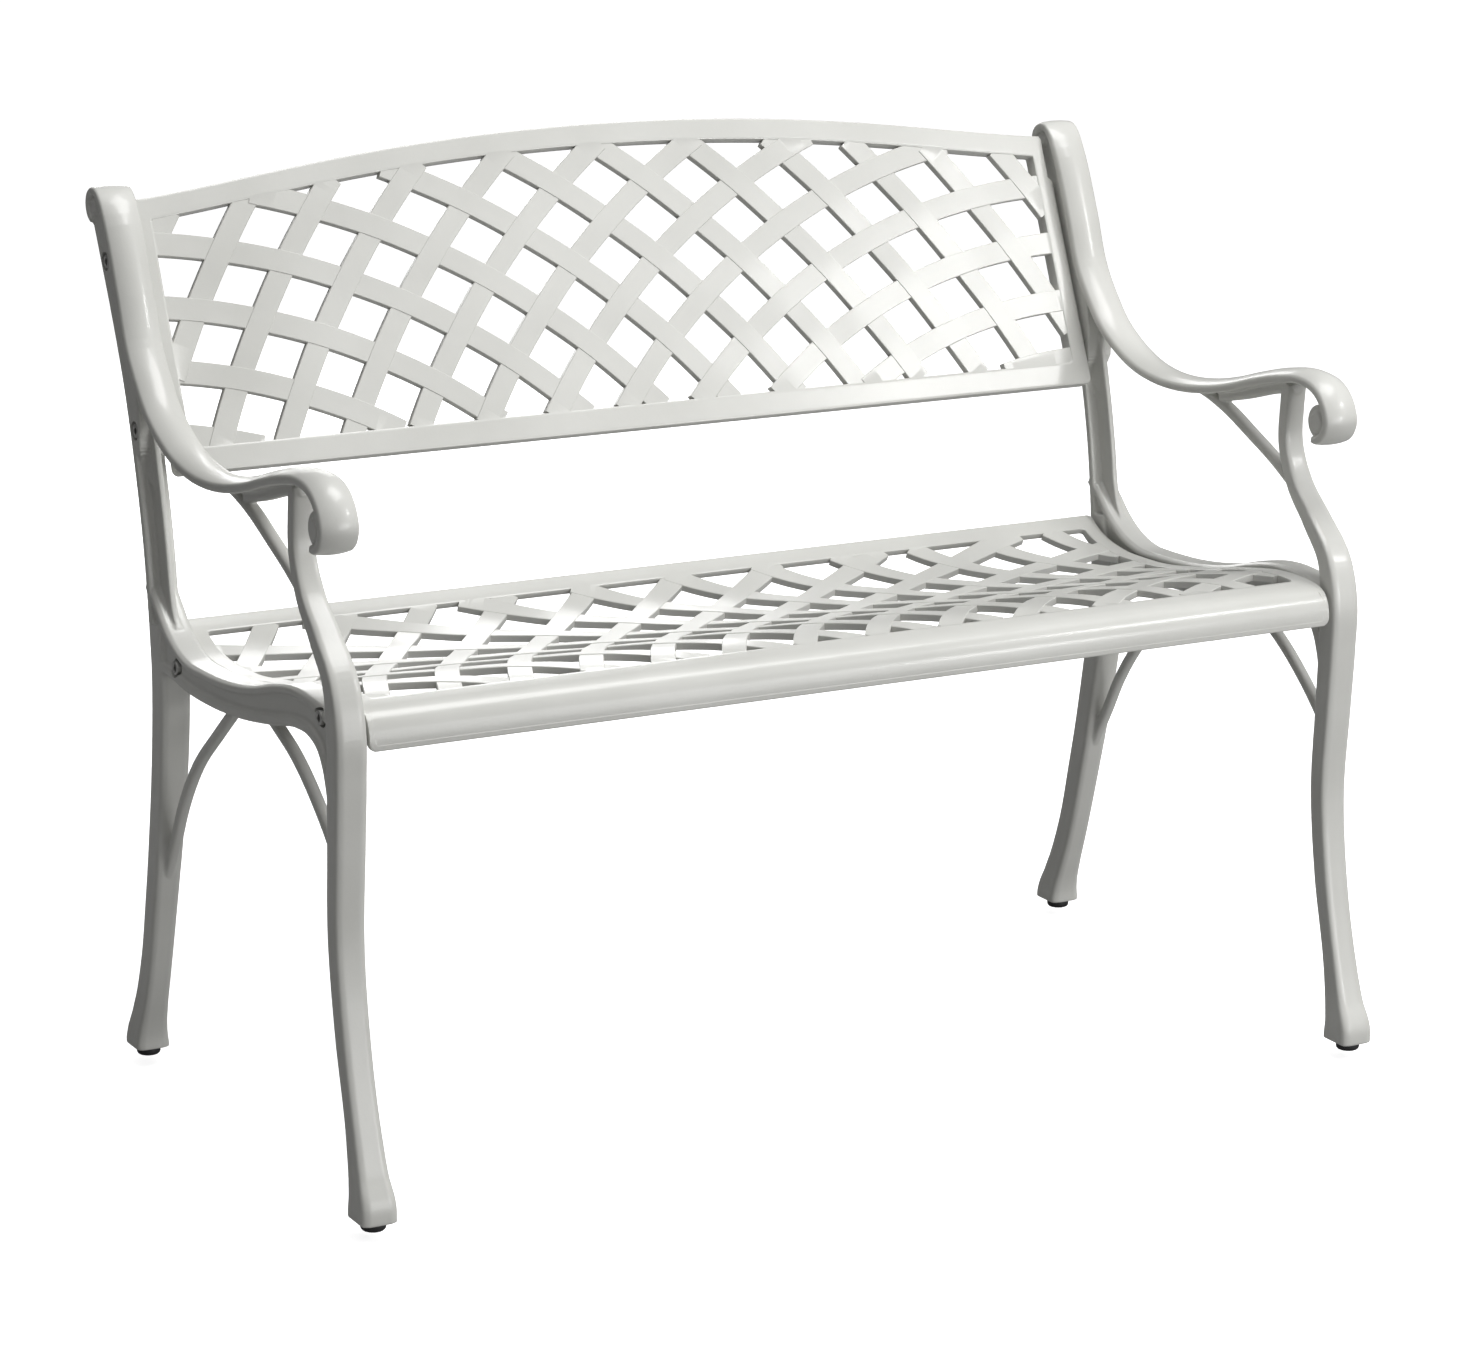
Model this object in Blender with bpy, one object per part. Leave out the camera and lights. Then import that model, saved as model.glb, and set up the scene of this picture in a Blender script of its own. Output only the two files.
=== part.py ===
"""Cast aluminium garden bench: two scrolled side frames, a lattice back panel and a lattice seat panel.

Metres, +Z up, the front faces -Y and the floor is z = 0. The side frames and the seat are drawn in the
side plane (y, z) with y = 0 midway between the front and rear feet; the whole bench is then moved by
DATUM_SHIFT so that the origin is the middle of its footprint box.
"""

import math

import bmesh
import bpy
import numpy as np

# Driving dimensions
FRAME_PLANE = 0.500          # x of the middle of each side frame
FRAME_THICKNESS = 0.028      # side frame measured along x
PANEL_END = 0.4855           # x of the ends of the back and seat panels
DATUM_SHIFT = -0.0263        # from the midpoint between the feet to the centre of the footprint box
FIT_GAP = 0.0003             # clearance left between touching pieces
EDGE = 0.0022                # worn-off corner of the cast bars

# Band: the flat strap that forms the armrest and runs up the front of the back post
BAND_WIDTH = 0.036
BAND_EDGE = 0.0072
BAND_CROWN = 0.006
ROLLED_CROWN = 0.0015        # crown left at the rolled ends of the band
CROWN_PART = 0.7             # share of the crown grown at the first length below
CROWN_GROWS = (0.030, 0.060)  # lengths from the curl where the crown is part grown and full
CROWN_FADES = (0.075, 0.045)  # lengths left to the top scroll where it starts to fade and is gone
SCROLL_WIDTH = 0.030

# Back panel: flat, leaning backwards
BACK_LEAN = math.radians(23.27)
BACK_ORIGIN = (0.2509, 0.700)     # a point of its front face, in the side plane
BACK_THICKNESS = 0.015
BACK_LOWEST = -0.154
BACK_OPENING_LOWEST = -0.131
BACK_TOP_RAIL = 0.021
STILE = 0.0185
BACK_CORNER = 0.006
ARCH_STEPS = 28              # straight runs that make up the arch
BACK_RELIEF = (0.004, 0.052)      # the ends are set in by this much above this height, to clear the band

# Seat panel: a sheet bent over a shallow dish, with its front edge rolled down
SEAT_THICKNESS = 0.007
SEAT_RIM = 0.0200            # depth of the lip round the underside
SEAT_LIP = 0.0060
SEAT_BOSS = 0.0240           # length along the seat of the blocks that take the bolts
SEAT_REAR_RAIL = 0.018
SEAT_FRONT_HOLE_Y = -0.180
SEAT_RIM_END_Y = -0.190

# Lattice: each panel has two families of slats, each family lies on circles about one centre
SLAT_WIDTH = 0.0215
LATTICE_THICKNESS = 0.009     # from the front face of the back panel
SMALLEST_HOLE = 0.8e-4       # m2; smaller corners of the lattice are cast solid

# Hardware, eight bolted joints along x and four levelling feet along z
SHANK_RADIUS = 0.0040
HEAD_RADIUS = 0.0065
HEAD_HEIGHT = 0.0080
SOCKET_ACROSS_CORNERS = 0.0069
SOCKET_DEPTH = 0.0045
COUNTERBORE_RADIUS = 0.0087
COUNTERBORE_FLOOR = 0.5010   # x of the seat of the washers
WASHER_RADIUS = 0.0080
WASHER_HEIGHT = 0.0016
SPRING_RADIUS = 0.0067
SPRING_HEIGHT = 0.0021
BOLT_TIP = 0.4715            # x of the end of the shank, inside the panel
FRAME_FOOT = 0.0080          # height of the underside of the cast feet
PAD_RADIUS = 0.0110
PAD_ROUNDING = 0.0018
STEM_BEVEL = 0.0013
STEM_TOP = 0.0300
STEM_BOTTOM = 0.0030

# Working sizes
ROUND = 16                   # sides of the small round pieces
PAD_SIDES = 24
HEXAGON = 6
OVERSHOOT = 0.005            # how far a cutter reaches past the face it cuts
OVERLAP = 0.002              # how far two shapes that are to become one run into each other
FACE_STEP = 0.0002           # keeps the side faces of joined members out of one plane

# Side frame members as rows of (y, z, width along x, depth), joined by a smooth curve
REAR_LEG = (
    (0.2515, 0.0080, 0.0310, 0.0340), (0.2515, 0.0130, 0.0310, 0.0340), (0.2510, 0.0180, 0.0300, 0.0330),
    (0.2465, 0.0340, 0.0265, 0.0285),
    (0.2385, 0.0560, 0.0235, 0.0262), (0.2270, 0.0900, 0.0220, 0.0255), (0.2090, 0.1600, 0.0228, 0.0262),
    (0.1910, 0.2400, 0.0250, 0.0270), (0.1780, 0.3200, 0.0270, 0.0275), (0.1745, 0.3800, 0.0276, 0.0275),
    (0.1780, 0.4280, 0.0276, 0.0265),
)
FRONT_LEG = (
    (-0.2500, 0.0080, 0.0320, 0.0355), (-0.2500, 0.0130, 0.0320, 0.0355), (-0.2500, 0.0180, 0.0320, 0.0350),
    (-0.2430, 0.0420, 0.0280, 0.0270),
    (-0.2330, 0.0800, 0.0255, 0.0210), (-0.2130, 0.1600, 0.0250, 0.0205), (-0.2025, 0.2400, 0.0260, 0.0210),
    (-0.2055, 0.3200, 0.0270, 0.0225), (-0.2080, 0.3800, 0.0276, 0.0240), (-0.2080, 0.4200, 0.0276, 0.0240),
    (-0.1970, 0.4600, 0.0262, 0.0195), (-0.1680, 0.4910, 0.0240, 0.0165), (-0.1390, 0.5200, 0.0220, 0.0145),
    (-0.1220, 0.5560, 0.0205, 0.0135), (-0.1220, 0.5900, 0.0200, 0.0135), (-0.1240, 0.6120, 0.0200, 0.0135),
)
ARM_RIB = (
    (-0.0100, 0.5810, 0.0120, 0.0140), (-0.0500, 0.5905, 0.0120, 0.0140), (-0.1000, 0.6045, 0.0120, 0.0140),
    (-0.1300, 0.6100, 0.0120, 0.0140),
)
ARM_BRACE = (
    (0.0340, 0.5805, 0.0110, 0.0050), (0.0100, 0.5775, 0.0120, 0.0085), (-0.0150, 0.5710, 0.0120, 0.0105),
    (-0.0610, 0.5520, 0.0120, 0.0105), (-0.1010, 0.5340, 0.0120, 0.0105), (-0.1370, 0.5140, 0.0120, 0.0105),
)
REAR_STRUT = (
    (0.0220, 0.3860, 0.0110, 0.0100), (0.0650, 0.3520, 0.0110, 0.0100), (0.1150, 0.3100, 0.0110, 0.0100),
    (0.1520, 0.2620, 0.0110, 0.0100), (0.1700, 0.2290, 0.0110, 0.0100),
    (0.1930, 0.1900, 0.0110, 0.0100),
)
FRONT_STRUT = (
    (-0.0580, 0.3940, 0.0110, 0.0100), (-0.1050, 0.3740, 0.0110, 0.0100), (-0.1620, 0.3330, 0.0110, 0.0100),
    (-0.2000, 0.2960, 0.0110, 0.0100),
)

# Band centre line (y, z), from the curl of the armrest, along it and up to the scroll at the top
BAND_LINE = (
    (-0.1690, 0.5752), (-0.1750, 0.5705), (-0.1850, 0.5710), (-0.1930, 0.5780), (-0.1960, 0.5870),
    (-0.1930, 0.5980), (-0.1850, 0.6090), (-0.1720, 0.6170), (-0.1540, 0.6200), (-0.1200, 0.6160),
    (-0.0800, 0.6060), (-0.0400, 0.5940), (0.0000, 0.5850), (0.0400, 0.5800), (0.0800, 0.5800),
    (0.1210, 0.5870), (0.1570, 0.6020), (0.1820, 0.6180), (0.2030, 0.6400), (0.2220, 0.6650),
    (0.2450, 0.7200), (0.2725, 0.7780), (0.2805, 0.7905), (0.2895, 0.7980), (0.2990, 0.7982),
    (0.3060, 0.7935), (0.3082, 0.7855), (0.3052, 0.7775), (0.2985, 0.7730),
)
ARM_CURL = (-0.1805, 0.5860, 0.0160)       # centre y, z and radius
TOP_SCROLL = (0.2950, 0.7852, 0.0128)

# Side frame plates as closed outlines (y, z)
RAIL_TOP = (
    (0.1960, 0.4620), (0.1900, 0.4590), (0.1760, 0.4470), (0.1600, 0.4320), (0.1400, 0.4190),
    (0.1100, 0.4095), (0.0700, 0.4088), (0.0000, 0.4145), (-0.0400, 0.4220), (-0.0800, 0.4330),
    (-0.1200, 0.4405), (-0.1500, 0.4410), (-0.1800, 0.4370), (-0.2080, 0.4280),
)
RAIL_BOTTOM = (
    (-0.2080, 0.3700), (-0.1900, 0.3700), (-0.1860, 0.3840), (-0.1750, 0.3980), (-0.1600, 0.4045),
    (-0.1300, 0.4055), (-0.0800, 0.3960), (0.0000, 0.3835), (0.0600, 0.3795), (0.1100, 0.3800),
    (0.1500, 0.3845), (0.1780, 0.3845),
)
POST_REAR_EDGE = (
    (0.1885, 0.3950), (0.1930, 0.4400), (0.2030, 0.5050), (0.2190, 0.5700), (0.2400, 0.6360), (0.2680, 0.7000),
    (0.2880, 0.7400), (0.3030, 0.7700),
)
POST_WEB_FRONT = (
    (0.1520, 0.4270), (0.1610, 0.4390), (0.1670, 0.4560), (0.1730, 0.4900), (0.1800, 0.5250),
    (0.1900, 0.5650), (0.2010, 0.6060),
)
POST_PLATE_FRONT = (
    (0.1955, 0.5850), (0.2010, 0.6060), (0.2060, 0.6250), (0.2110, 0.6480), (0.2220, 0.6670),
    (0.2440, 0.7190), (0.2715, 0.7770), (0.2950, 0.7852),
)
POST_WEB_THICKNESS = 0.006
POST_FLANGE_DEPTH = 0.007
POST_PLATE_FOOT = 0.578      # height where the open web becomes a full plate
WEB_LAP = 0.030              # height over which web and flange run on inside the plate

# Seat top surface (y, z) from the lower edge of the front apron to the rear edge
SEAT_LINE = (
    (-0.2160, 0.4020), (-0.2160, 0.4120), (-0.2140, 0.4220), (-0.2090, 0.4305), (-0.2010, 0.4355),
    (-0.1880, 0.4380), (-0.1650, 0.4395), (-0.1400, 0.4385), (-0.1100, 0.4345), (-0.0750, 0.4280),
    (-0.0350, 0.4190), (0.0050, 0.4118), (0.0450, 0.4058), (0.0850, 0.4036), (0.1250, 0.4045),
    (0.1600, 0.4122), (0.1740, 0.4188), (0.1860, 0.4270),
)

# Centres (across, along) and first radius of the two slat families of each panel
BACK_FAMILIES = ((-0.5440, -0.6105, 0.6710), (0.4795, -0.5526, 0.6010))
BACK_LATTICE_PITCH = 0.0583
SEAT_FAMILIES = ((-0.6402, -0.6004, 0.4542), (0.6463, -0.5839, 0.4339))
SEAT_LATTICE_PITCH = 0.0618
SLAT_NUMBERS = range(-5, 17)  # enough slats of each family to cover a whole panel

# Bolt axes (name, y, z) and foot axes (name, y)
BOLT_AXES = (
    ("back_upper", 0.2751, 0.7386), ("back_lower", 0.2139, 0.5961),
    ("seat_rear", 0.1330, 0.3975), ("seat_front", -0.1810, 0.4275),
)
FEET = (("front", -0.2500), ("rear", 0.2515))
SIDES = (("left", -1.0), ("right", 1.0))


def make_material(name, colour, roughness, metallic):
    material = bpy.data.materials.new(name)
    material.use_nodes = True
    shader = material.node_tree.nodes["Principled BSDF"]
    shader.inputs["Base Color"].default_value = (*colour, 1.0)
    shader.inputs["Roughness"].default_value = roughness
    shader.inputs["Metallic"].default_value = metallic
    material.diffuse_color = (*colour, 1.0)
    return material


def make_solid(name, points, faces):
    """One closed mesh object whose faces point outwards."""
    mesh = bpy.data.meshes.new(name)
    mesh.from_pydata([tuple(float(v) for v in point) for point in points], [], faces)
    work = bmesh.new()
    work.from_mesh(mesh)
    bmesh.ops.recalc_face_normals(work, faces=work.faces)
    work.to_mesh(mesh)
    work.free()
    item = bpy.data.objects.new(name, mesh)
    bpy.context.scene.collection.objects.link(item)
    return item


def combine(base, others, operation):
    """Unites, cuts or intersects base with each of the others, which are used up."""
    for other in others:
        modifier = base.modifiers.new(operation, "BOOLEAN")
        modifier.operation = operation
        modifier.solver = "EXACT"
        modifier.object = other
    graph = bpy.context.evaluated_depsgraph_get()
    mesh = bpy.data.meshes.new_from_object(base.evaluated_get(graph))
    base.modifiers.clear()
    base.data = mesh
    for other in others:
        bpy.data.objects.remove(other)
    return base


def lengths(line):
    """Length along a line up to each of its points."""
    return np.concatenate([[0.0], np.cumsum(np.hypot(*np.diff(line[:, :2], axis=0).T))])


def headings(line):
    """Unit direction of a line at each of its points."""
    steps = np.gradient(line, axis=0)
    return steps / np.linalg.norm(steps, axis=1)[:, None]


def curve_through(rows, per_span):
    """Rows of values on a smooth curve through the given rows; the first two columns are the place."""
    rows = np.array(rows, dtype=float)
    along = lengths(rows)
    slopes = np.gradient(rows, along, axis=0)
    samples = [rows[0]]
    for k in range(len(rows) - 1):
        span = along[k + 1] - along[k]
        for step in range(1, per_span + 1):
            t = step / per_span
            samples.append(
                (2 * t**3 - 3 * t**2 + 1) * rows[k]
                + (t**3 - 2 * t**2 + t) * span * slopes[k]
                + (3 * t**2 - 2 * t**3) * rows[k + 1]
                + (t**3 - t**2) * span * slopes[k + 1]
            )
    return np.array(samples)


def skin_rings(name, rings):
    """A closed tube through rings of equally many points, with flat ends."""
    count = len(rings[0])
    points = [point for ring in rings for point in ring]
    faces = [list(range(count)), list(range((len(rings) - 1) * count, len(rings) * count))]
    for k in range(len(rings) - 1):
        for i in range(count):
            j = (i + 1) % count
            faces.append([k * count + i, k * count + j, (k + 1) * count + j, (k + 1) * count + i])
    return make_solid(name, points, faces)


def bar_section(width, depth):
    """A rectangle with its corners taken off, as (across, outward) pairs."""
    a = width / 2
    b = depth / 2
    return [
        (a, b - EDGE), (a - EDGE, b), (EDGE - a, b), (-a, b - EDGE),
        (-a, EDGE - b), (EDGE - a, -b), (a - EDGE, -b), (a, EDGE - b),
    ]


def band_section(crown):
    """The strap: flat underneath and crowned on top."""
    half = BAND_WIDTH / 2
    top = [
        (half * side, BAND_EDGE / 2 + crown * (1 - side**2))
        for side in (1.0, 0.7, 0.0, -0.7, -1.0)
    ]
    return top + [(-half, -BAND_EDGE / 2), (half, -BAND_EDGE / 2)]


def band_crowns(line):
    """Full crown along the arm and the post, fading out around the curl and the scroll."""
    along = lengths(line)
    end = along[-1]
    part, full = CROWN_GROWS
    fading, gone = CROWN_FADES
    places = (0.0, part, full, end - fading, end - gone, end)
    crowns = (ROLLED_CROWN, CROWN_PART * BAND_CROWN, BAND_CROWN, BAND_CROWN, ROLLED_CROWN, ROLLED_CROWN)
    return np.interp(along, places, crowns)


def sweep(name, x, line, sections):
    """Sections carried along a line of the side plane, at right angles to it."""
    rings = []
    for (y, z), (dy, dz), section in zip(line, headings(line), sections):
        rings.append([(x + across, y - dz * out, z + dy * out) for across, out in section])
    return skin_rings(name, rings)


def bar(name, x, rows, per_span=2):
    samples = curve_through(rows, per_span)
    return sweep(name, x, samples[:, :2], [bar_section(width, depth) for width, depth in samples[:, 2:]])


def plate(name, x, outline, thickness):
    """A closed outline of the side plane given a thickness along x."""
    return skin_rings(name, [[(x + side * thickness / 2, y, z) for y, z in outline] for side in (-1, 1)])


def cylinder_x(name, start, end, y, z, radius, sides=ROUND):
    angles = [2 * math.pi * i / sides for i in range(sides)]
    rings = [[(x, y + radius * math.cos(a), z + radius * math.sin(a)) for a in angles] for x in (start, end)]
    return skin_rings(name, rings)


def turned_z(name, x, y, profile, sides=ROUND):
    """A solid of revolution about a vertical line from (radius, height) rows."""
    angles = [2 * math.pi * i / sides for i in range(sides)]
    rings = [[(x + r * math.cos(a), y + r * math.sin(a), z) for a in angles] for r, z in profile]
    return skin_rings(name, rings)


def offset_forward(line, distance):
    """The same line moved forwards along its normal."""
    directions = headings(line)
    return line + distance * np.stack([-directions[:, 1], directions[:, 0]], axis=1)


def bolt_cutters(side):
    """Counterbores and clearance holes of one side frame."""
    outer_end = FRAME_PLANE + FRAME_THICKNESS / 2 + 3 * OVERSHOOT
    inner_end = FRAME_PLANE - FRAME_THICKNESS / 2 - 2 * OVERSHOOT
    floor = COUNTERBORE_FLOOR
    hole_radius = SHANK_RADIUS + FIT_GAP
    cutters = []
    for _, y, z in BOLT_AXES:
        cutters.append(cylinder_x("counterbore", side * floor, side * outer_end, y, z, COUNTERBORE_RADIUS))
        cutters.append(cylinder_x("clearance", side * inner_end, side * (floor + OVERLAP), y, z, hole_radius))
    return cutters


def stem_hole(x, y):
    """Hole for the stem of a levelling foot, with room above its end."""
    radius = SHANK_RADIUS + FIT_GAP
    return turned_z("stem_hole", x, y, ((radius, -OVERSHOOT), (radius, STEM_TOP + OVERLAP)))


def build_side_frame(name, side):
    x = side * FRAME_PLANE
    rear_edge = curve_through(POST_REAR_EDGE, 2)
    upper_edge = rear_edge[rear_edge[:, 1] > POST_PLATE_FOOT]
    lower_edge = rear_edge[rear_edge[:, 1] < POST_PLATE_FOOT + WEB_LAP]
    flange = np.concatenate([lower_edge, offset_forward(lower_edge, POST_FLANGE_DEPTH)[::-1]])
    web = np.concatenate([offset_forward(lower_edge, OVERLAP), POST_WEB_FRONT[::-1]])
    post_plate = np.concatenate([upper_edge, POST_PLATE_FRONT[::-1]])
    band = curve_through(BAND_LINE, 2)
    scroll = SCROLL_WIDTH / 2
    frame = bar(name, x, FRONT_LEG)
    members = [
        bar("rear_leg", x, REAR_LEG),
        plate("rail", x, RAIL_TOP + RAIL_BOTTOM, FRAME_THICKNESS),
        plate("web", x, web, POST_WEB_THICKNESS),
        plate("flange", x, flange, FRAME_THICKNESS - 4 * FACE_STEP),
        plate("post_plate", x, post_plate, FRAME_THICKNESS - 2 * FACE_STEP),
        sweep("band", x, band, [band_section(crown) for crown in band_crowns(band)]),
        cylinder_x("arm_curl", x - scroll, x + scroll, *ARM_CURL),
        cylinder_x("top_scroll", x - scroll, x + scroll, *TOP_SCROLL),
        bar("arm_rib", x, ARM_RIB),
        bar("arm_brace", x, ARM_BRACE),
        bar("rear_strut", x, REAR_STRUT),
        bar("front_strut", x, FRONT_STRUT),
    ]
    combine(frame, members, "UNION")
    holes = [stem_hole(x, y) for _, y in FEET]
    return combine(frame, bolt_cutters(side) + holes, "DIFFERENCE")


def circle_crossing(first, first_radius, second, second_radius):
    """The upper point where two circles about different centres cross, or None."""
    (x1, s1), (x2, s2) = first, second
    gap = math.hypot(x2 - x1, s2 - s1)
    along = (gap**2 + first_radius**2 - second_radius**2) / (2 * gap)
    height = first_radius**2 - along**2
    if height <= 0:
        return None
    height = math.sqrt(height)
    ux = (x2 - x1) / gap
    us = (s2 - s1) / gap
    return (x1 + ux * along - us * height, s1 + us * along + ux * height)


def lattice_cells(families, pitch):
    """Four-cornered openings between the slats, as closed outlines."""
    (c1x, c1s, r1), (c2x, c2s, r2) = families
    half = SLAT_WIDTH / 2
    cells = []
    for i in SLAT_NUMBERS:
        for j in SLAT_NUMBERS:
            inner1 = r1 + i * pitch + half
            outer1 = r1 + (i + 1) * pitch - half
            inner2 = r2 + j * pitch + half
            outer2 = r2 + (j + 1) * pitch - half
            loop = ((inner1, inner2), (outer1, inner2), (outer1, outer2), (inner1, outer2))
            corners = [circle_crossing((c1x, c1s), a, (c2x, c2s), b) for a, b in loop]
            if None not in corners:
                cells.append(corners)
    return cells


def polygon_area(outline):
    points = np.array(outline)
    following = np.roll(points, -1, axis=0)
    return abs(np.sum(points[:, 0] * following[:, 1] - following[:, 0] * points[:, 1])) / 2


def clip_to(outline, limit):
    """The part of a convex outline on the positive side of limit(x, s)."""
    kept = []
    for k, point in enumerate(outline):
        following = outline[(k + 1) % len(outline)]
        here = limit(*point)
        there = limit(*following)
        if here >= 0:
            kept.append(point)
        if here * there < 0:
            t = here / (here - there)
            kept.append(tuple(a + t * (b - a) for a, b in zip(point, following)))
    return kept


def lattice_holes(families, pitch, limits):
    holes = []
    for cell in lattice_cells(families, pitch):
        for limit in limits:
            cell = clip_to(cell, limit)
            if len(cell) < 3:
                break
        if len(cell) >= 3 and polygon_area(cell) > SMALLEST_HOLE:
            holes.append(cell)
    return holes


def cut_holes(panel, holes, low, high):
    """Cuts every outline right through a flat panel drawn in (x, s) with its thickness along z."""
    points = []
    faces = []
    for hole in holes:
        first = len(points)
        count = len(hole)
        points += [(x, s, low) for x, s in hole] + [(x, s, high) for x, s in hole]
        faces.append([first + k for k in range(count)])
        faces.append([first + count + k for k in range(count)])
        for k in range(count):
            j = (k + 1) % count
            faces.append([first + k, first + j, first + count + j, first + count + k])
    return combine(panel, [make_solid("holes", points, faces)], "DIFFERENCE")


def back_top(x):
    """Height of the arched top edge of the back panel above its datum."""
    return 0.1411 - 0.207 * x**2 - 0.218 * x**4 + 1.3324 * x**6


def flat_prism(name, outline, low, high):
    return skin_rings(name, [[(x, s, depth) for x, s in outline] for depth in (low, high)])


def rounded_corner(x, s, radius, start, steps=4):
    """Points of a quarter circle about (x, s)."""
    angles = [math.radians(start + 90 * k / steps) for k in range(steps + 1)]
    return [(x + radius * math.cos(a), s + radius * math.sin(a)) for a in angles]


def build_back_panel():
    """Drawn flat as (x, s, depth behind the front face), then leaned back into place."""
    corner_x = PANEL_END - BACK_CORNER
    corner_s = BACK_LOWEST + BACK_CORNER
    inset, relief_start = BACK_RELIEF
    top_end = PANEL_END - inset
    outline = rounded_corner(-corner_x, corner_s, BACK_CORNER, 180)
    outline += rounded_corner(corner_x, corner_s, BACK_CORNER, 270)
    outline += [(PANEL_END, relief_start), (top_end, relief_start + inset)]
    outline += [(x, back_top(x)) for x in np.linspace(top_end, -top_end, ARCH_STEPS + 1)]
    outline += [(-top_end, relief_start + inset), (-PANEL_END, relief_start)]
    panel = flat_prism("back_panel", outline, 0.0, BACK_THICKNESS)
    inner_x = PANEL_END - STILE
    recess = [(-inner_x, BACK_OPENING_LOWEST), (inner_x, BACK_OPENING_LOWEST)]
    recess += [(x, back_top(x) - BACK_TOP_RAIL) for x in np.linspace(inner_x, -inner_x, ARCH_STEPS - 1)]
    pocket = flat_prism("pocket", recess, LATTICE_THICKNESS, BACK_THICKNESS + OVERSHOOT)
    combine(panel, [pocket], "DIFFERENCE")
    limits = (
        lambda x, s: inner_x - x,
        lambda x, s: inner_x + x,
        lambda x, s: s - BACK_OPENING_LOWEST,
        lambda x, s: back_top(x) - BACK_TOP_RAIL - s,
    )
    holes = lattice_holes(BACK_FAMILIES, BACK_LATTICE_PITCH, limits)
    cut_holes(panel, holes, -OVERSHOOT, BACK_THICKNESS + OVERSHOOT)
    y0, z0 = BACK_ORIGIN
    for vertex in panel.data.vertices:
        x, s, depth = vertex.co
        vertex.co.y = y0 + s * math.sin(BACK_LEAN) + depth * math.cos(BACK_LEAN)
        vertex.co.z = z0 + s * math.cos(BACK_LEAN) - depth * math.sin(BACK_LEAN)
    return tap_panel(panel, "back")


def tap_panel(panel, kind):
    """Blind holes in both ends of a panel for the bolts."""
    cutters = []
    for name, y, z in BOLT_AXES:
        if name.startswith(kind):
            for _, side in SIDES:
                tip = side * (BOLT_TIP - FIT_GAP)
                mouth = side * (PANEL_END + OVERSHOOT)
                cutters.append(cylinder_x("tapped", tip, mouth, y, z, SHANK_RADIUS + FIT_GAP))
    return combine(panel, cutters, "DIFFERENCE")


def build_seat_panel():
    """Drawn flat as (x, length along the top surface, depth), then bent; the length is 0 at y = 0."""
    line = np.array(SEAT_LINE)
    length = lengths(line)
    length -= np.interp(0.0, line[:, 0], length)
    front = length[0]
    rear = length[-1]
    rim_end, front_hole = np.interp((SEAT_RIM_END_Y, SEAT_FRONT_HOLE_Y), line[:, 0], length)
    rear_hole = rear - SEAT_REAR_RAIL
    inner_x = PANEL_END - STILE
    end = PANEL_END
    panel = flat_prism("seat_panel", box_outline(-end, front, end, rear), 0.0, SEAT_THICKNESS)
    thick = box_outline(-end, rim_end, end, rear)
    rim = flat_prism("rim", thick, SEAT_THICKNESS - OVERLAP, SEAT_RIM)
    lip_x = end - SEAT_LIP
    window = box_outline(-lip_x, rim_end - OVERSHOOT, lip_x, rear - SEAT_LIP)
    combine(rim, [flat_prism("window", window, -OVERSHOOT, SEAT_RIM + OVERSHOOT)], "DIFFERENCE")
    combine(panel, [rim] + seat_bosses(line, length, inner_x), "UNION")
    limits = (
        lambda x, s: inner_x - x,
        lambda x, s: inner_x + x,
        lambda x, s: s - front_hole,
        lambda x, s: rear_hole - s,
    )
    holes = lattice_holes(SEAT_FAMILIES, SEAT_LATTICE_PITCH, limits)
    cut_holes(panel, holes, -OVERSHOOT, SEAT_RIM + OVERSHOOT)
    bend(panel, line, length)
    return tap_panel(panel, "seat")


def box_outline(x0, s0, x1, s1):
    return ((x0, s0), (x1, s0), (x1, s1), (x0, s1))


def seat_bosses(line, length, inner_x):
    """Blocks under both side borders of the seat that take the bolts."""
    bosses = []
    outer_x = PANEL_END - OVERLAP
    for name, y, _ in BOLT_AXES:
        if name.startswith("seat"):
            middle = np.interp(y, line[:, 0], length)
            low = max(middle - SEAT_BOSS / 2, np.interp(SEAT_RIM_END_Y, line[:, 0], length) + OVERLAP)
            high = middle + SEAT_BOSS / 2
            for start, end in ((inner_x, outer_x), (-outer_x, -inner_x)):
                outline = box_outline(start, low, end, high)
                bosses.append(flat_prism("boss", outline, SEAT_THICKNESS - OVERLAP, SEAT_RIM - FACE_STEP))
    return bosses


def bend(panel, line, length):
    """Lays a flat panel over a line of the side plane, after splitting it at every point of the line."""
    work = bmesh.new()
    work.from_mesh(panel.data)
    for place in length[1:-1]:
        geometry = work.verts[:] + work.edges[:] + work.faces[:]
        bmesh.ops.bisect_plane(work, geom=geometry, plane_co=(0, place, 0), plane_no=(0, 1, 0), dist=1e-6)
    for vertex in work.verts:
        x, s, depth = vertex.co
        y, z, dy, dz = (np.interp(s, length, column) for column in (*line.T, *headings(line).T))
        vertex.co = (x, y + dz * depth, z - dy * depth)
    bmesh.ops.recalc_face_normals(work, faces=work.faces)
    work.to_mesh(panel.data)
    work.free()


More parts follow.
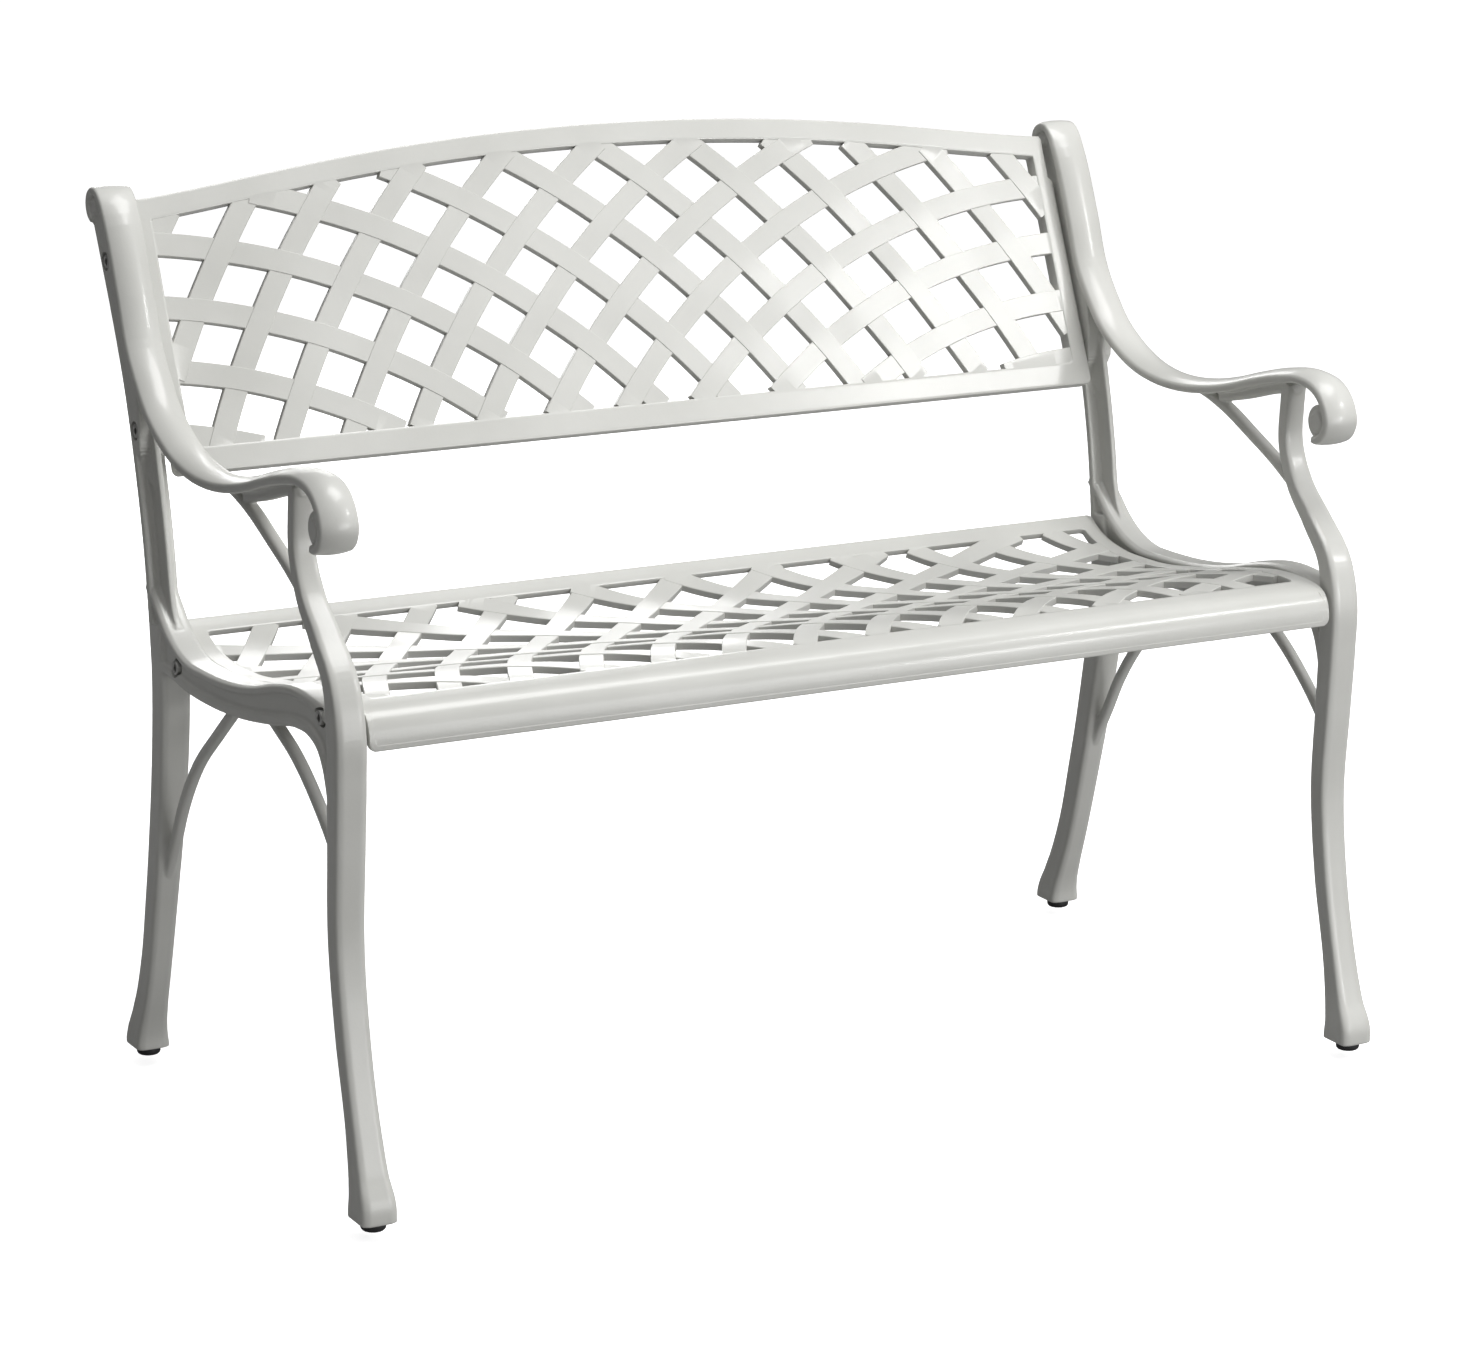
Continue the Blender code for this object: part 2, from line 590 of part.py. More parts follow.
def build_bolt(name, side, y, z):
    """Socket cap screw: head, hexagon socket and shank."""
    under_head = COUNTERBORE_FLOOR + WASHER_HEIGHT + SPRING_HEIGHT + 3 * FIT_GAP
    top = under_head + HEAD_HEIGHT
    head = cylinder_x(name, side * under_head, side * top, y, z, HEAD_RADIUS)
    shank = cylinder_x("shank", side * BOLT_TIP, side * (under_head + OVERLAP), y, z, SHANK_RADIUS)
    combine(head, [shank], "UNION")
    floor = top - SOCKET_DEPTH
    mouth = top + OVERLAP
    socket = cylinder_x("socket", side * floor, side * mouth, y, z, SOCKET_ACROSS_CORNERS / 2, HEXAGON)
    return combine(head, [socket], "DIFFERENCE")


def build_washer(name, side, y, z, start, height, radius):
    """A ring whose inner face is at x = start."""
    end = start + height
    ring = cylinder_x(name, side * start, side * end, y, z, radius)
    hole_radius = SHANK_RADIUS + FIT_GAP
    bore = cylinder_x("bore", side * (start - OVERLAP), side * (end + OVERLAP), y, z, hole_radius)
    return combine(ring, [bore], "DIFFERENCE")


def build_foot_pad(name, x, y):
    """Nylon pad with a socket for the stem."""
    top = FRAME_FOOT - FIT_GAP
    rounding = PAD_ROUNDING
    pad = turned_z(name, x, y, (
        (PAD_RADIUS - rounding, 0.0), (PAD_RADIUS, rounding),
        (PAD_RADIUS, top - rounding), (PAD_RADIUS - rounding, top),
    ), PAD_SIDES)
    socket_radius = SHANK_RADIUS + FIT_GAP
    profile = ((socket_radius, STEM_BOTTOM - FIT_GAP), (socket_radius, FRAME_FOOT + OVERSHOOT))
    return combine(pad, [turned_z("socket", x, y, profile)], "DIFFERENCE")


def build_foot_stem(name, x, y):
    """Plain stem with a bevelled upper end."""
    bevel = STEM_BEVEL
    return turned_z(name, x, y, (
        (SHANK_RADIUS, STEM_BOTTOM), (SHANK_RADIUS, STEM_TOP - bevel), (SHANK_RADIUS - bevel, STEM_TOP),
    ))


def finish(item, material, origin=(0.0, 0.0, 0.0)):
    """Moves a piece from the drawing datum to the bench's origin and puts its own origin on its axis."""
    place = np.array(origin) + (0.0, DATUM_SHIFT, 0.0)
    for vertex in item.data.vertices:
        vertex.co.x -= origin[0]
        vertex.co.y -= origin[1]
        vertex.co.z -= origin[2]
    item.location = place
    item.data.materials.clear()
    item.data.materials.append(material)
    item.data.shade_smooth()
    item.data.set_sharp_from_angle(angle=math.radians(32))
    return item


def build_bench():
    cream = (0.80, 0.79, 0.76)
    finish(build_side_frame("left_side_frame", -1.0), make_material("frame_coat", cream, 0.35, 0.0))
    finish(build_side_frame("right_side_frame", 1.0), make_material("right_frame_coat", cream, 0.35, 0.0))
    finish(build_back_panel(), make_material("back_coat", cream, 0.35, 0.0))
    finish(build_seat_panel(), make_material("seat_coat", cream, 0.35, 0.0))
    zinc = (0.55, 0.55, 0.54)
    for side_name, side in SIDES:
        for axis_name, y, z in BOLT_AXES:
            tag = f"{axis_name}_{side_name}"
            bolt = build_bolt(f"bolt_{tag}", side, y, z)
            finish(bolt, make_material(f"bolt_steel_{tag}", zinc, 0.35, 1.0))
            start = COUNTERBORE_FLOOR + FIT_GAP
            flat = build_washer(f"flat_washer_{tag}", side, y, z, start, WASHER_HEIGHT, WASHER_RADIUS)
            finish(flat, make_material(f"washer_steel_{tag}", zinc, 0.40, 1.0))
            start += WASHER_HEIGHT + FIT_GAP
            spring = build_washer(f"spring_washer_{tag}", side, y, z, start, SPRING_HEIGHT, SPRING_RADIUS)
            finish(spring, make_material(f"spring_steel_{tag}", zinc, 0.45, 1.0))
    for side_name, side in SIDES:
        for foot_name, y in FEET:
            tag = f"{foot_name}_{side_name}"
            x = side * FRAME_PLANE
            pad = build_foot_pad(f"foot_pad_{tag}", x, y)
            finish(pad, make_material(f"nylon_{tag}", (0.02, 0.02, 0.02), 0.6, 0.0), (x, y, 0.0))
            stem = build_foot_stem(f"foot_stem_{tag}", x, y)
            finish(stem, make_material(f"stem_steel_{tag}", zinc, 0.4, 1.0), (x, y, 0.0))


for leftover in list(bpy.data.objects):
    bpy.data.objects.remove(leftover)
build_bench()
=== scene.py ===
"""Looks of the cast garden bench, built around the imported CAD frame.

The side frames and the seat are drawn in the side plane (y, z), where y = 0 is the drawing datum, 0.25 m
behind the front feet. Panels are drawn flat as (across, along, depth) and then laid in place.
"""

import math

import bmesh
import bpy
import numpy as np
from mathutils import Matrix, Vector


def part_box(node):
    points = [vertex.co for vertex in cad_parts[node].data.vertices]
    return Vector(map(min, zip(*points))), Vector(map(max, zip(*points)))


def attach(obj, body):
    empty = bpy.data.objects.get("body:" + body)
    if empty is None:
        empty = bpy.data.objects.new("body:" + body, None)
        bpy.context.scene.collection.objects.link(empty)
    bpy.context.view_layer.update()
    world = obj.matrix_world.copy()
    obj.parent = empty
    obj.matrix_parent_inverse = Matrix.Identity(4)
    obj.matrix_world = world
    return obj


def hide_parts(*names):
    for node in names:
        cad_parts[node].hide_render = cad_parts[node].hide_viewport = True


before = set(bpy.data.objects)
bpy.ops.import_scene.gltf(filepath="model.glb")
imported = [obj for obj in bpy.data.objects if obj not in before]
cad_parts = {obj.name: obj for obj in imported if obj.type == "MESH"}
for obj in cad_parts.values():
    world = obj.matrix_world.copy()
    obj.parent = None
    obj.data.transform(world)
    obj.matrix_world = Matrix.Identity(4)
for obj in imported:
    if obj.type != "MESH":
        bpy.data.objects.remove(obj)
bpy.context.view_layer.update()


def middle(node):
    low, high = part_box(node)
    return (low + high) / 2


# Places taken from the frame
FRAME_PLANE = middle("right_side_frame").x
FRONT_FOOT_Y = -0.2500
DATUM_Y = middle("foot_pad_front_right").y - FRONT_FOOT_Y
PANEL_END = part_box("seat_panel")[1].x - 0.0024
FRAME_THICKNESS = 0.028
SIDES = (("left", -1.0), ("right", 1.0))

# How finely curves and rounds are drawn
COARSE_SPAN = 6
MIDDLE_SPAN = 8
FINE_SPAN = 24
ROUND_SIDES = 48
PAD_SIDES = 64
VOXEL = 0.0011
SMOOTH_ROUNDS = 3

# How square the corners of cast bars are: 2 is an ellipse, more is squarer
BAR_SQUARENESS = 3.4
STRUT_SQUARENESS = 2.6
BRACE_SQUARENESS = 3.0
BEAD_SQUARENESS = 3.0
LIP_SQUARENESS = 4.0
LEG_SQUARENESS = 11.0

# Legs: a little oversize for what smoothing takes off, and crowned in front
LEG_OVERSIZE = 1.03
LEG_SIDES = 56
LEG_SHOULDER = 0.80
LEG_CROWN = 0.20

# Band of the armrest and the back post
BAND_WIDTH = 0.036
BAND_EDGE = 0.0072
BAND_SOFT = 0.0016
BAND_CROWN = 0.006
ROLLED_CROWN = 0.0015
CROWN_REACH = 0.94
CROWN_STEPS = 21
CROWN_PART = 0.7
CROWN_GROWS = (0.030, 0.060)
CROWN_FADES = (0.075, 0.045)
DISC_WIDTH = 0.0275
DISC_PROFILE = ((-1, 0.88), (-0.93, 1.0), (0.93, 1.0), (1, 0.88))
EYE_WIDTH = 0.0330
EYE_SHARE = 0.58

# Back panel
BACK_LEAN = math.radians(23.27)
BACK_ORIGIN = (0.2509, 0.700)
BACK_THICKNESS = 0.015
BACK_LOWEST = -0.154
BACK_OPENING_LOWEST = -0.131
BACK_OPENING_CORNER = 0.005
BACK_TOP_RAIL = 0.021
BACK_CORNER = 0.006
BACK_RELIEF = (0.004, 0.052)
BACK_RELIEF_TOP = 0.080
BACK_RAIL_POINTS = 40
STILE = 0.0173
STILE_POINTS = 16
STILE_SHARES = (0.55, 0.6, 0.7, 0.93)
ARCH_TERMS = (0.1411, -0.207, -0.218, 1.3324)
ARCH_POINTS = 90
ARCH_DROP = (0.003, 0.001)
ARCH_CHAMFER = 0.0015
ARCH_INNER_SHARE = 0.998

# Seat panel
SEAT_RIM = 0.020
SEAT_LIP = 0.006
SEAT_LIP_INSET = 0.0003
SEAT_LIP_SOFT = 0.0012
SEAT_LIP_HIDDEN = 0.0004
SEAT_LIP_GROWS = (-0.192, -0.184)
SEAT_REAR_RAIL = 0.018
SEAT_FRONT_HOLE_Y = -0.180
SEAT_SHEET = 0.0068
SEAT_OUTER_RADII = (0.007, 0.005)
SEAT_INNER_RADII = (0.004, 0.004)
SEAT_END_POINTS = 30
SEAT_SIDE_POINTS = 70
SEAT_BOSS = 0.024
SEAT_BOSS_FRONT_Y = -0.188
SEAT_BOSS_TOP = 0.004
SEAT_BOSS_INSET = 0.0005
SEAT_BOSS_SHORT = 0.0006
SEAT_BOSS_STEPS = 9

# Lattice: each family is (centre across, centre along, radius of slat 0)
SLAT_WIDTH = 0.0215
SLAT_BEVEL = 0.0006
SLAT_STEP = 0.0045
SLAT_SHORTEST = 4
SLAT_SETBACK = 0.0006
SLAT_BITE = 0.006
SLAT_NUMBERS = range(-5, 17)
WEAVE = 0.00035
BACK_SLAT = 0.0080
BACK_FAMILIES = ((-0.5440, -0.6105, 0.6710), (0.4795, -0.5526, 0.6010))
BACK_PITCH = 0.0583
BACK_PARITY = -1
SEAT_SLAT = 0.0066
SEAT_FAMILIES = ((-0.6402, -0.6004, 0.4542), (0.6463, -0.5839, 0.4339))
SEAT_PITCH = 0.0618
SEAT_PARITY = 1

# Soft edges of the panels' borders
RIM_SOFT = 0.0016
RIM_POINTS = 14
CORNER_CUT = 0.29
CORNER_STEPS = 8

# Members of a side frame as rows of (y, z, width along x, depth)
REAR_LEG = (
    (0.2515, 0.0080, 0.0310, 0.0340), (0.2515, 0.0130, 0.0310, 0.0340), (0.2510, 0.0180, 0.0300, 0.0330),
    (0.2465, 0.0340, 0.0265, 0.0285), (0.2385, 0.0560, 0.0235, 0.0262), (0.2270, 0.0900, 0.0220, 0.0255),
    (0.2090, 0.1600, 0.0228, 0.0262), (0.1910, 0.2400, 0.0250, 0.0270), (0.1780, 0.3200, 0.0270, 0.0275),
    (0.1745, 0.3800, 0.0276, 0.0275), (0.1780, 0.4280, 0.0276, 0.0265),
)
FRONT_LEG = (
    (-0.2500, 0.0080, 0.0320, 0.0355), (-0.2500, 0.0130, 0.0320, 0.0355), (-0.2500, 0.0180, 0.0320, 0.0350),
    (-0.2430, 0.0420, 0.0280, 0.0270), (-0.2330, 0.0800, 0.0255, 0.0210), (-0.2130, 0.1600, 0.0250, 0.0205),
    (-0.2025, 0.2400, 0.0260, 0.0210), (-0.2055, 0.3200, 0.0270, 0.0225), (-0.2080, 0.3800, 0.0276, 0.0240),
    (-0.2080, 0.4200, 0.0276, 0.0240), (-0.1970, 0.4600, 0.0262, 0.0195), (-0.1680, 0.4910, 0.0240, 0.0165),
    (-0.1390, 0.5200, 0.0220, 0.0145), (-0.1220, 0.5560, 0.0205, 0.0135), (-0.1220, 0.5900, 0.0200, 0.0135),
    (-0.1240, 0.6120, 0.0200, 0.0135),
)
ARM_RIB = (
    (-0.0100, 0.5810, 0.0120, 0.0140), (-0.0500, 0.5905, 0.0120, 0.0140), (-0.1000, 0.6045, 0.0120, 0.0140),
    (-0.1300, 0.6100, 0.0120, 0.0140),
)
ARM_BRACE = (
    (0.0340, 0.5805, 0.0110, 0.0050), (0.0100, 0.5775, 0.0120, 0.0085), (-0.0150, 0.5710, 0.0120, 0.0105),
    (-0.0610, 0.5520, 0.0120, 0.0105), (-0.1010, 0.5340, 0.0120, 0.0105), (-0.1370, 0.5140, 0.0120, 0.0105),
)
REAR_STRUT = (
    (0.0220, 0.3860, 0.0110, 0.0100), (0.0650, 0.3520, 0.0110, 0.0100), (0.1150, 0.3100, 0.0110, 0.0100),
    (0.1520, 0.2620, 0.0110, 0.0100), (0.1700, 0.2290, 0.0110, 0.0100), (0.1930, 0.1900, 0.0110, 0.0100),
)
FRONT_STRUT = (
    (-0.0580, 0.3940, 0.0110, 0.0100), (-0.1050, 0.3740, 0.0110, 0.0100), (-0.1620, 0.3330, 0.0110, 0.0100),
    (-0.2000, 0.2960, 0.0110, 0.0100),
)

# Lines and edges of a side frame as rows of (y, z)
BAND_LINE = (
    (-0.1765, 0.5702), (-0.1800, 0.5695), (-0.1860, 0.5715), (-0.1930, 0.5780), (-0.1960, 0.5870),
    (-0.1930, 0.5980), (-0.1850, 0.6090), (-0.1720, 0.6170), (-0.1540, 0.6200), (-0.1200, 0.6160),
    (-0.0800, 0.6060), (-0.0400, 0.5940), (0.0000, 0.5850), (0.0400, 0.5800), (0.0800, 0.5800),
    (0.1210, 0.5870), (0.1570, 0.6020), (0.1820, 0.6180), (0.2030, 0.6400), (0.2220, 0.6650),
    (0.2450, 0.7200), (0.2725, 0.7780), (0.2805, 0.7905), (0.2895, 0.7980), (0.2990, 0.7982),
    (0.3060, 0.7935), (0.3082, 0.7855), (0.3052, 0.7775), (0.2985, 0.7730),
)
RAIL_TOP = (
    (0.1960, 0.4620), (0.1900, 0.4590), (0.1760, 0.4470), (0.1600, 0.4320), (0.1400, 0.4190),
    (0.1100, 0.4095), (0.0700, 0.4088), (0.0000, 0.4145), (-0.0400, 0.4220), (-0.0800, 0.4330),
    (-0.1200, 0.4405), (-0.1500, 0.4410), (-0.1800, 0.4370), (-0.2080, 0.4280),
)
RAIL_BOTTOM = (
    (-0.2080, 0.3500), (-0.1965, 0.3500), (-0.1945, 0.3590), (-0.1905, 0.3730), (-0.1860, 0.3840),
    (-0.1750, 0.3980), (-0.1600, 0.4045), (-0.1300, 0.4055), (-0.0800, 0.3960), (0.0000, 0.3835),
    (0.0600, 0.3795), (0.1100, 0.3800), (0.1500, 0.3845), (0.1780, 0.3845),
)
POST_REAR_EDGE = (
    (0.1885, 0.3950), (0.1930, 0.4400), (0.2030, 0.5050), (0.2190, 0.5700), (0.2400, 0.6360),
    (0.2680, 0.7000), (0.2880, 0.7400), (0.3030, 0.7700),
)
POST_WEB_FRONT = (
    (0.1520, 0.4270), (0.1610, 0.4390), (0.1670, 0.4560), (0.1730, 0.4900), (0.1800, 0.5250),
    (0.1900, 0.5650), (0.2010, 0.6060),
)
POST_PLATE_FRONT = (
    (0.2040, 0.5875), (0.2025, 0.6060), (0.2060, 0.6250), (0.2110, 0.6480), (0.2220, 0.6670),
    (0.2440, 0.7190), (0.2715, 0.7770), (0.2950, 0.7852),
)
SEAT_LINE = (
    (-0.2160, 0.4020), (-0.2160, 0.4120), (-0.2140, 0.4220), (-0.2090, 0.4305), (-0.2010, 0.4355),
    (-0.1880, 0.4380), (-0.1650, 0.4395), (-0.1400, 0.4385), (-0.1100, 0.4345), (-0.0750, 0.4280),
    (-0.0350, 0.4190), (0.0050, 0.4118), (0.0450, 0.4058), (0.0850, 0.4036), (0.1250, 0.4045),
    (0.1600, 0.4122), (0.1740, 0.4188), (0.1860, 0.4270),
)

# Rolled ends as (y, z, radius of the filling)
ARM_CURL = (-0.1805, 0.5860, 0.0162)
TOP_SCROLL = (0.2950, 0.7852, 0.0128)

# Side rail; its lip starts two spans up its lower line, where it is still inside the front leg
RAIL_CORE = 0.0200
RAIL_BEAD = 0.0095
RAIL_BEAD_INSET = 0.001
RAIL_FLANGE = 0.0120
RAIL_LIP_START = 2 * COARSE_SPAN

# Back post
POST_WEB_THICKNESS = 0.006
POST_WEB_INSET = 0.001
POST_FLANGE_DEPTH = 0.007
POST_FLANGE_LAP = 0.030
POST_PLATE_FOOT = 0.5875
POST_FILLET = 0.050
POST_FILLET_STEPS = 16
POST_FILLET_INSET = 0.008
POST_FILLET_HOLLOW = 0.012

# Hardware
BOLT_AXES = (
    ("back_upper", 0.2751, 0.7386), ("back_lower", 0.2139, 0.5961),
    ("seat_rear", 0.1330, 0.3975), ("seat_front", -0.1810, 0.4275),
)
COUNTERBORE_RADIUS = 0.0087
COUNTERBORE_FLOOR = 0.5010
COUNTERBORE_MOUTH = 0.54
BOLT_SHANK = 0.004
BOLT_TIP_BEVEL = 0.0007
BOLT_HEAD_LENGTH = 0.008
BOLT_EDGE = 0.0003
SOCKET_CORNERS = 0.0069
SOCKET_MOUTH = 0.0040
SOCKET_THROAT = 0.0036
SOCKET_DEPTH = 0.0044
HEX_CORNER = math.radians(60)
PAD_SOCKET = 0.0040
PAD_UNDERSIDE = ((0.72, 0.0), (0.86, 0.0004), (0.95, 0.0014), (0.995, 0.0028), (1.0, 0.0042))
PAD_SHOULDER = ((0.99, 0.0016), (0.95, 0.0006), (0.88, 0.0))

# Edges sharper than this many degrees stay crisp
CASTING_CREASE = 50
PANEL_CREASE = 28
BOLT_CREASE = 30
PAD_CREASE = 50

# Studio: each softbox is (name, direction, distance, side, watts)
STAGE_RADIUS = 14.0
STAGE_SIDES = 96
STAGE_RISES = (0.0, 88.0, 24)
FLOOR_LEVEL = -0.0085
LIGHT_CENTRE = (0.0, 0.0, 0.45)
SOFTBOXES = (
    ("key", (0.60, -0.62, 0.50), 3.2, 0.45, 15.0),
    ("front", (0.35, -0.93, 0.02), 3.6, 1.6, 31.0),
    ("glint", (0.526, -0.842, 0.122), 3.2, 0.35, 7.0),
    ("top", (0.22, -0.20, 0.95), 3.0, 1.6, 58.0),
    ("rear", (0.25, 0.93, 0.28), 3.4, 1.6, 34.0),
)
BRIGHT_SKY = (0.40, -0.25, 0.88)

# Camera, placed from the drawing datum
CAMERA_PLACE = (-1.9885, -3.5555, 1.4202)
CAMERA_YAW = math.radians(28.892)
CAMERA_PITCH = math.radians(14.653)
CAMERA_ROLL = math.radians(0.530)
CAMERA_LENS = 113.72
CAMERA_SENSOR = 36.0


# Mesh helpers

def new_object(name, points, faces):
    mesh = bpy.data.meshes.new(name)
    mesh.from_pydata([tuple(float(v) for v in p) for p in points], [], faces)
    work = bmesh.new()
    work.from_mesh(mesh)
    bmesh.ops.recalc_face_normals(work, faces=work.faces)
    work.to_mesh(mesh)
    work.free()
    item = bpy.data.objects.new(name, mesh)
    bpy.context.scene.collection.objects.link(item)
    return item


def skin(name, rings, closed_loop=False):
    """A tube through rings of equally many points, closed into a loop or capped at both ends."""
    count = len(rings[0])
    points = [point for ring in rings for point in ring]
    faces = []
    if not closed_loop:
        faces.append(list(range(count)))
        faces.append(list(range((len(rings) - 1) * count, len(rings) * count)))
    spans = len(rings) if closed_loop else len(rings) - 1
    for k in range(spans):
        following = (k + 1) % len(rings)
        for i in range(count):
            j = (i + 1) % count
            faces.append([k * count + i, k * count + j, following * count + j, following * count + i])
    return new_object(name, points, faces)


def apply_modifiers(item):
    graph = bpy.context.evaluated_depsgraph_get()
    mesh = bpy.data.meshes.new_from_object(item.evaluated_get(graph))
    item.modifiers.clear()
    item.data = mesh


def combine(base, others, operation):
    """Adds the other objects to the base or cuts them out of it, and removes them."""
    for other in others:
        modifier = base.modifiers.new(operation, "BOOLEAN")
        modifier.operation = operation
        modifier.solver = "MANIFOLD"
        modifier.object = other
    apply_modifiers(base)
    for other in others:
        bpy.data.objects.remove(other)
    return base


def join(name, items):
    """Gathers the meshes of several objects into one."""
    work = bmesh.new()
    for item in items:
        work.from_mesh(item.data)
        bpy.data.objects.remove(item)
    mesh = bpy.data.meshes.new(name)
    work.to_mesh(mesh)
    work.free()
    joined = bpy.data.objects.new(name, mesh)
    bpy.context.scene.collection.objects.link(joined)
    return joined


def shade(item, crease):
    """Smooth shading, with edges sharper than the crease angle kept crisp."""
    item.data.shade_smooth()
    item.data.set_sharp_from_angle(angle=math.radians(crease))


def curve_through(rows, per_span):
    """Rows on a smooth curve through the given rows; the first two columns are the place."""
    rows = np.array(rows, dtype=float)
    along = lengths(rows)
    slopes = np.gradient(rows, along, axis=0)
    samples = [rows[0]]
    for k in range(len(rows) - 1):
        span = along[k + 1] - along[k]
        for step in range(1, per_span + 1):
            t = step / per_span
            samples.append(
                (2 * t**3 - 3 * t**2 + 1) * rows[k]
                + (t**3 - 2 * t**2 + t) * span * slopes[k]
                + (3 * t**2 - 2 * t**3) * rows[k + 1]
                + (t**3 - t**2) * span * slopes[k + 1]
            )
    return np.array(samples)


def lengths(line):
    """Length along a line at each of its points."""
    return np.concatenate([[0.0], np.cumsum(np.hypot(*np.diff(line[:, :2], axis=0).T))])


def headings(line):
    """Unit vectors along a line at each of its points."""
    steps = np.gradient(line, axis=0)
    return steps / np.linalg.norm(steps, axis=1)[:, None]


def offset(line, distance):
    """The line moved to its left by a distance, so forwards on a line that climbs."""
    line = np.array(line)
    heading = headings(line)
    return line + distance * np.stack([-heading[:, 1], heading[:, 0]], axis=1)


def turn(sides):
    """Equally spaced angles of a full turn."""
    return [2 * math.pi * k / sides for k in range(sides)]


def rounded_section(width, depth, squareness, count=28):
    """A rectangle with soft corners, as (across, outward) pairs."""
    section = []
    for k in range(count):
        a = 2 * math.pi * (k + 0.5) / count
        c = math.cos(a)
        s = math.sin(a)
        section.append((
            width / 2 * math.copysign(abs(c) ** (2 / squareness), c),
            depth / 2 * math.copysign(abs(s) ** (2 / squareness), s),
        ))
    return section


def sweep(name, line, sections):
    """Sections carried along a line of the side plane; x is measured from the plane of the frame."""
    rings = []
    for (y, z), (dy, dz), section in zip(line, headings(line), sections):
        rings.append([(across, y - dz * out, z + dy * out) for across, out in section])
    return skin(name, rings)


def bar(name, rows, squareness=BAR_SQUARENESS):
    samples = curve_through(rows, COARSE_SPAN)
    sections = [rounded_section(width, depth, squareness) for width, depth in samples[:, 2:]]
    return sweep(name, samples[:, :2], sections)


def plate(name, outline, thickness):
    return skin(name, [[(side * thickness / 2, y, z) for y, z in outline] for side in (-1, 1)])


def disc(name, y, z, radius, width):
    """A flat round disc across the frame, with a softened rim."""
    rings = []
    for x, share in DISC_PROFILE:
        r = share * radius
        rings.append([(x * width / 2, y + r * math.cos(a), z + r * math.sin(a)) for a in turn(ROUND_SIDES)])
    return skin(name, rings)


def cylinder_x(name, start, end, y, z, radius):
    rings = []
    for x in (start, end):
        rings.append([(x, y + radius * math.cos(a), z + radius * math.sin(a)) for a in turn(ROUND_SIDES)])
    return skin(name, rings)


# Side frames

def leg_section(width, depth):
    """Flat at the sides and the back, gently crowned in front."""
    section = []
    for across, out in rounded_section(LEG_OVERSIZE * width, LEG_OVERSIZE * depth, LEG_SQUARENESS, LEG_SIDES):
        if out > 0:
            crown = 1 - (2 * across / width) ** 2
            out = out * (LEG_SHOULDER + LEG_CROWN * crown)
        section.append((across, out))
    return section


def leg(name, rows):
    samples = curve_through(rows, MIDDLE_SPAN)
    return sweep(name, samples[:, :2], [leg_section(width, depth) for width, depth in samples[:, 2:]])


def rail():
    """Side rail: a thinner core, a bead along its top and a lip along its lower edge."""
    top = curve_through(RAIL_TOP, COARSE_SPAN)
    bottom = curve_through(RAIL_BOTTOM, COARSE_SPAN)
    bead = offset(top, RAIL_BEAD / 2)
    lip = offset(bottom[RAIL_LIP_START:], RAIL_FLANGE / 2)
    bead_section = rounded_section(FRAME_THICKNESS - RAIL_BEAD_INSET, RAIL_BEAD, BEAD_SQUARENESS)
    lip_section = rounded_section(FRAME_THICKNESS, RAIL_FLANGE, LIP_SQUARENESS)
    return [
        plate("rail", np.concatenate([top, bottom]), RAIL_CORE),
        sweep("bead", bead, [bead_section] * len(bead)),
        sweep("lip", lip, [lip_section] * len(lip)),
    ]


def post():
    """Back post: a thin web with a flange behind it, and a full plate above."""
    rear_edge = curve_through(POST_REAR_EDGE, FINE_SPAN)
    upper_edge = rear_edge[rear_edge[:, 1] > POST_PLATE_FOOT]
    lower_edge = rear_edge[rear_edge[:, 1] < POST_PLATE_FOOT + POST_FLANGE_LAP]
    flange = np.concatenate([lower_edge, offset(lower_edge, POST_FLANGE_DEPTH)[::-1]])
    web_front = curve_through(POST_WEB_FRONT, MIDDLE_SPAN)
    web = np.concatenate([offset(lower_edge, POST_WEB_INSET), web_front[::-1]])
    plate_front = curve_through(POST_PLATE_FRONT, COARSE_SPAN)
    return [
        plate("web", web, POST_WEB_THICKNESS),
        plate("flange", flange, FRAME_THICKNESS),
        plate("post_plate", np.concatenate([upper_edge, plate_front[::-1]]), FRAME_THICKNESS),
        *post_fillets(offset(rear_edge, POST_WEB_INSET), curve_through(POST_WEB_FRONT, FINE_SPAN)),
    ]


def post_fillets(rear, front):
    """The post's plate runs out softly into its web: nested slabs, thinner and shorter further down."""
    fillets = []
    for k in range(POST_FILLET_STEPS):
        rise = (k + 0.5) / POST_FILLET_STEPS
        grown = rise * rise * (3 - 2 * rise)
        thickness = POST_WEB_THICKNESS + (FRAME_THICKNESS - POST_WEB_THICKNESS) * grown
        low = POST_PLATE_FOOT - POST_FILLET * (1 - k / POST_FILLET_STEPS)
        rear_part = [(y, z) for y, z in rear if low <= z <= POST_PLATE_FOOT]
        inset = POST_FILLET_INSET + POST_FILLET_HOLLOW * math.sin(math.pi * grown)
        front_part = [(y + inset, z) for y, z in front if low <= z <= POST_PLATE_FOOT]
        fillets.append(plate("post_fillet", rear_part + front_part[::-1], thickness))
    return fillets


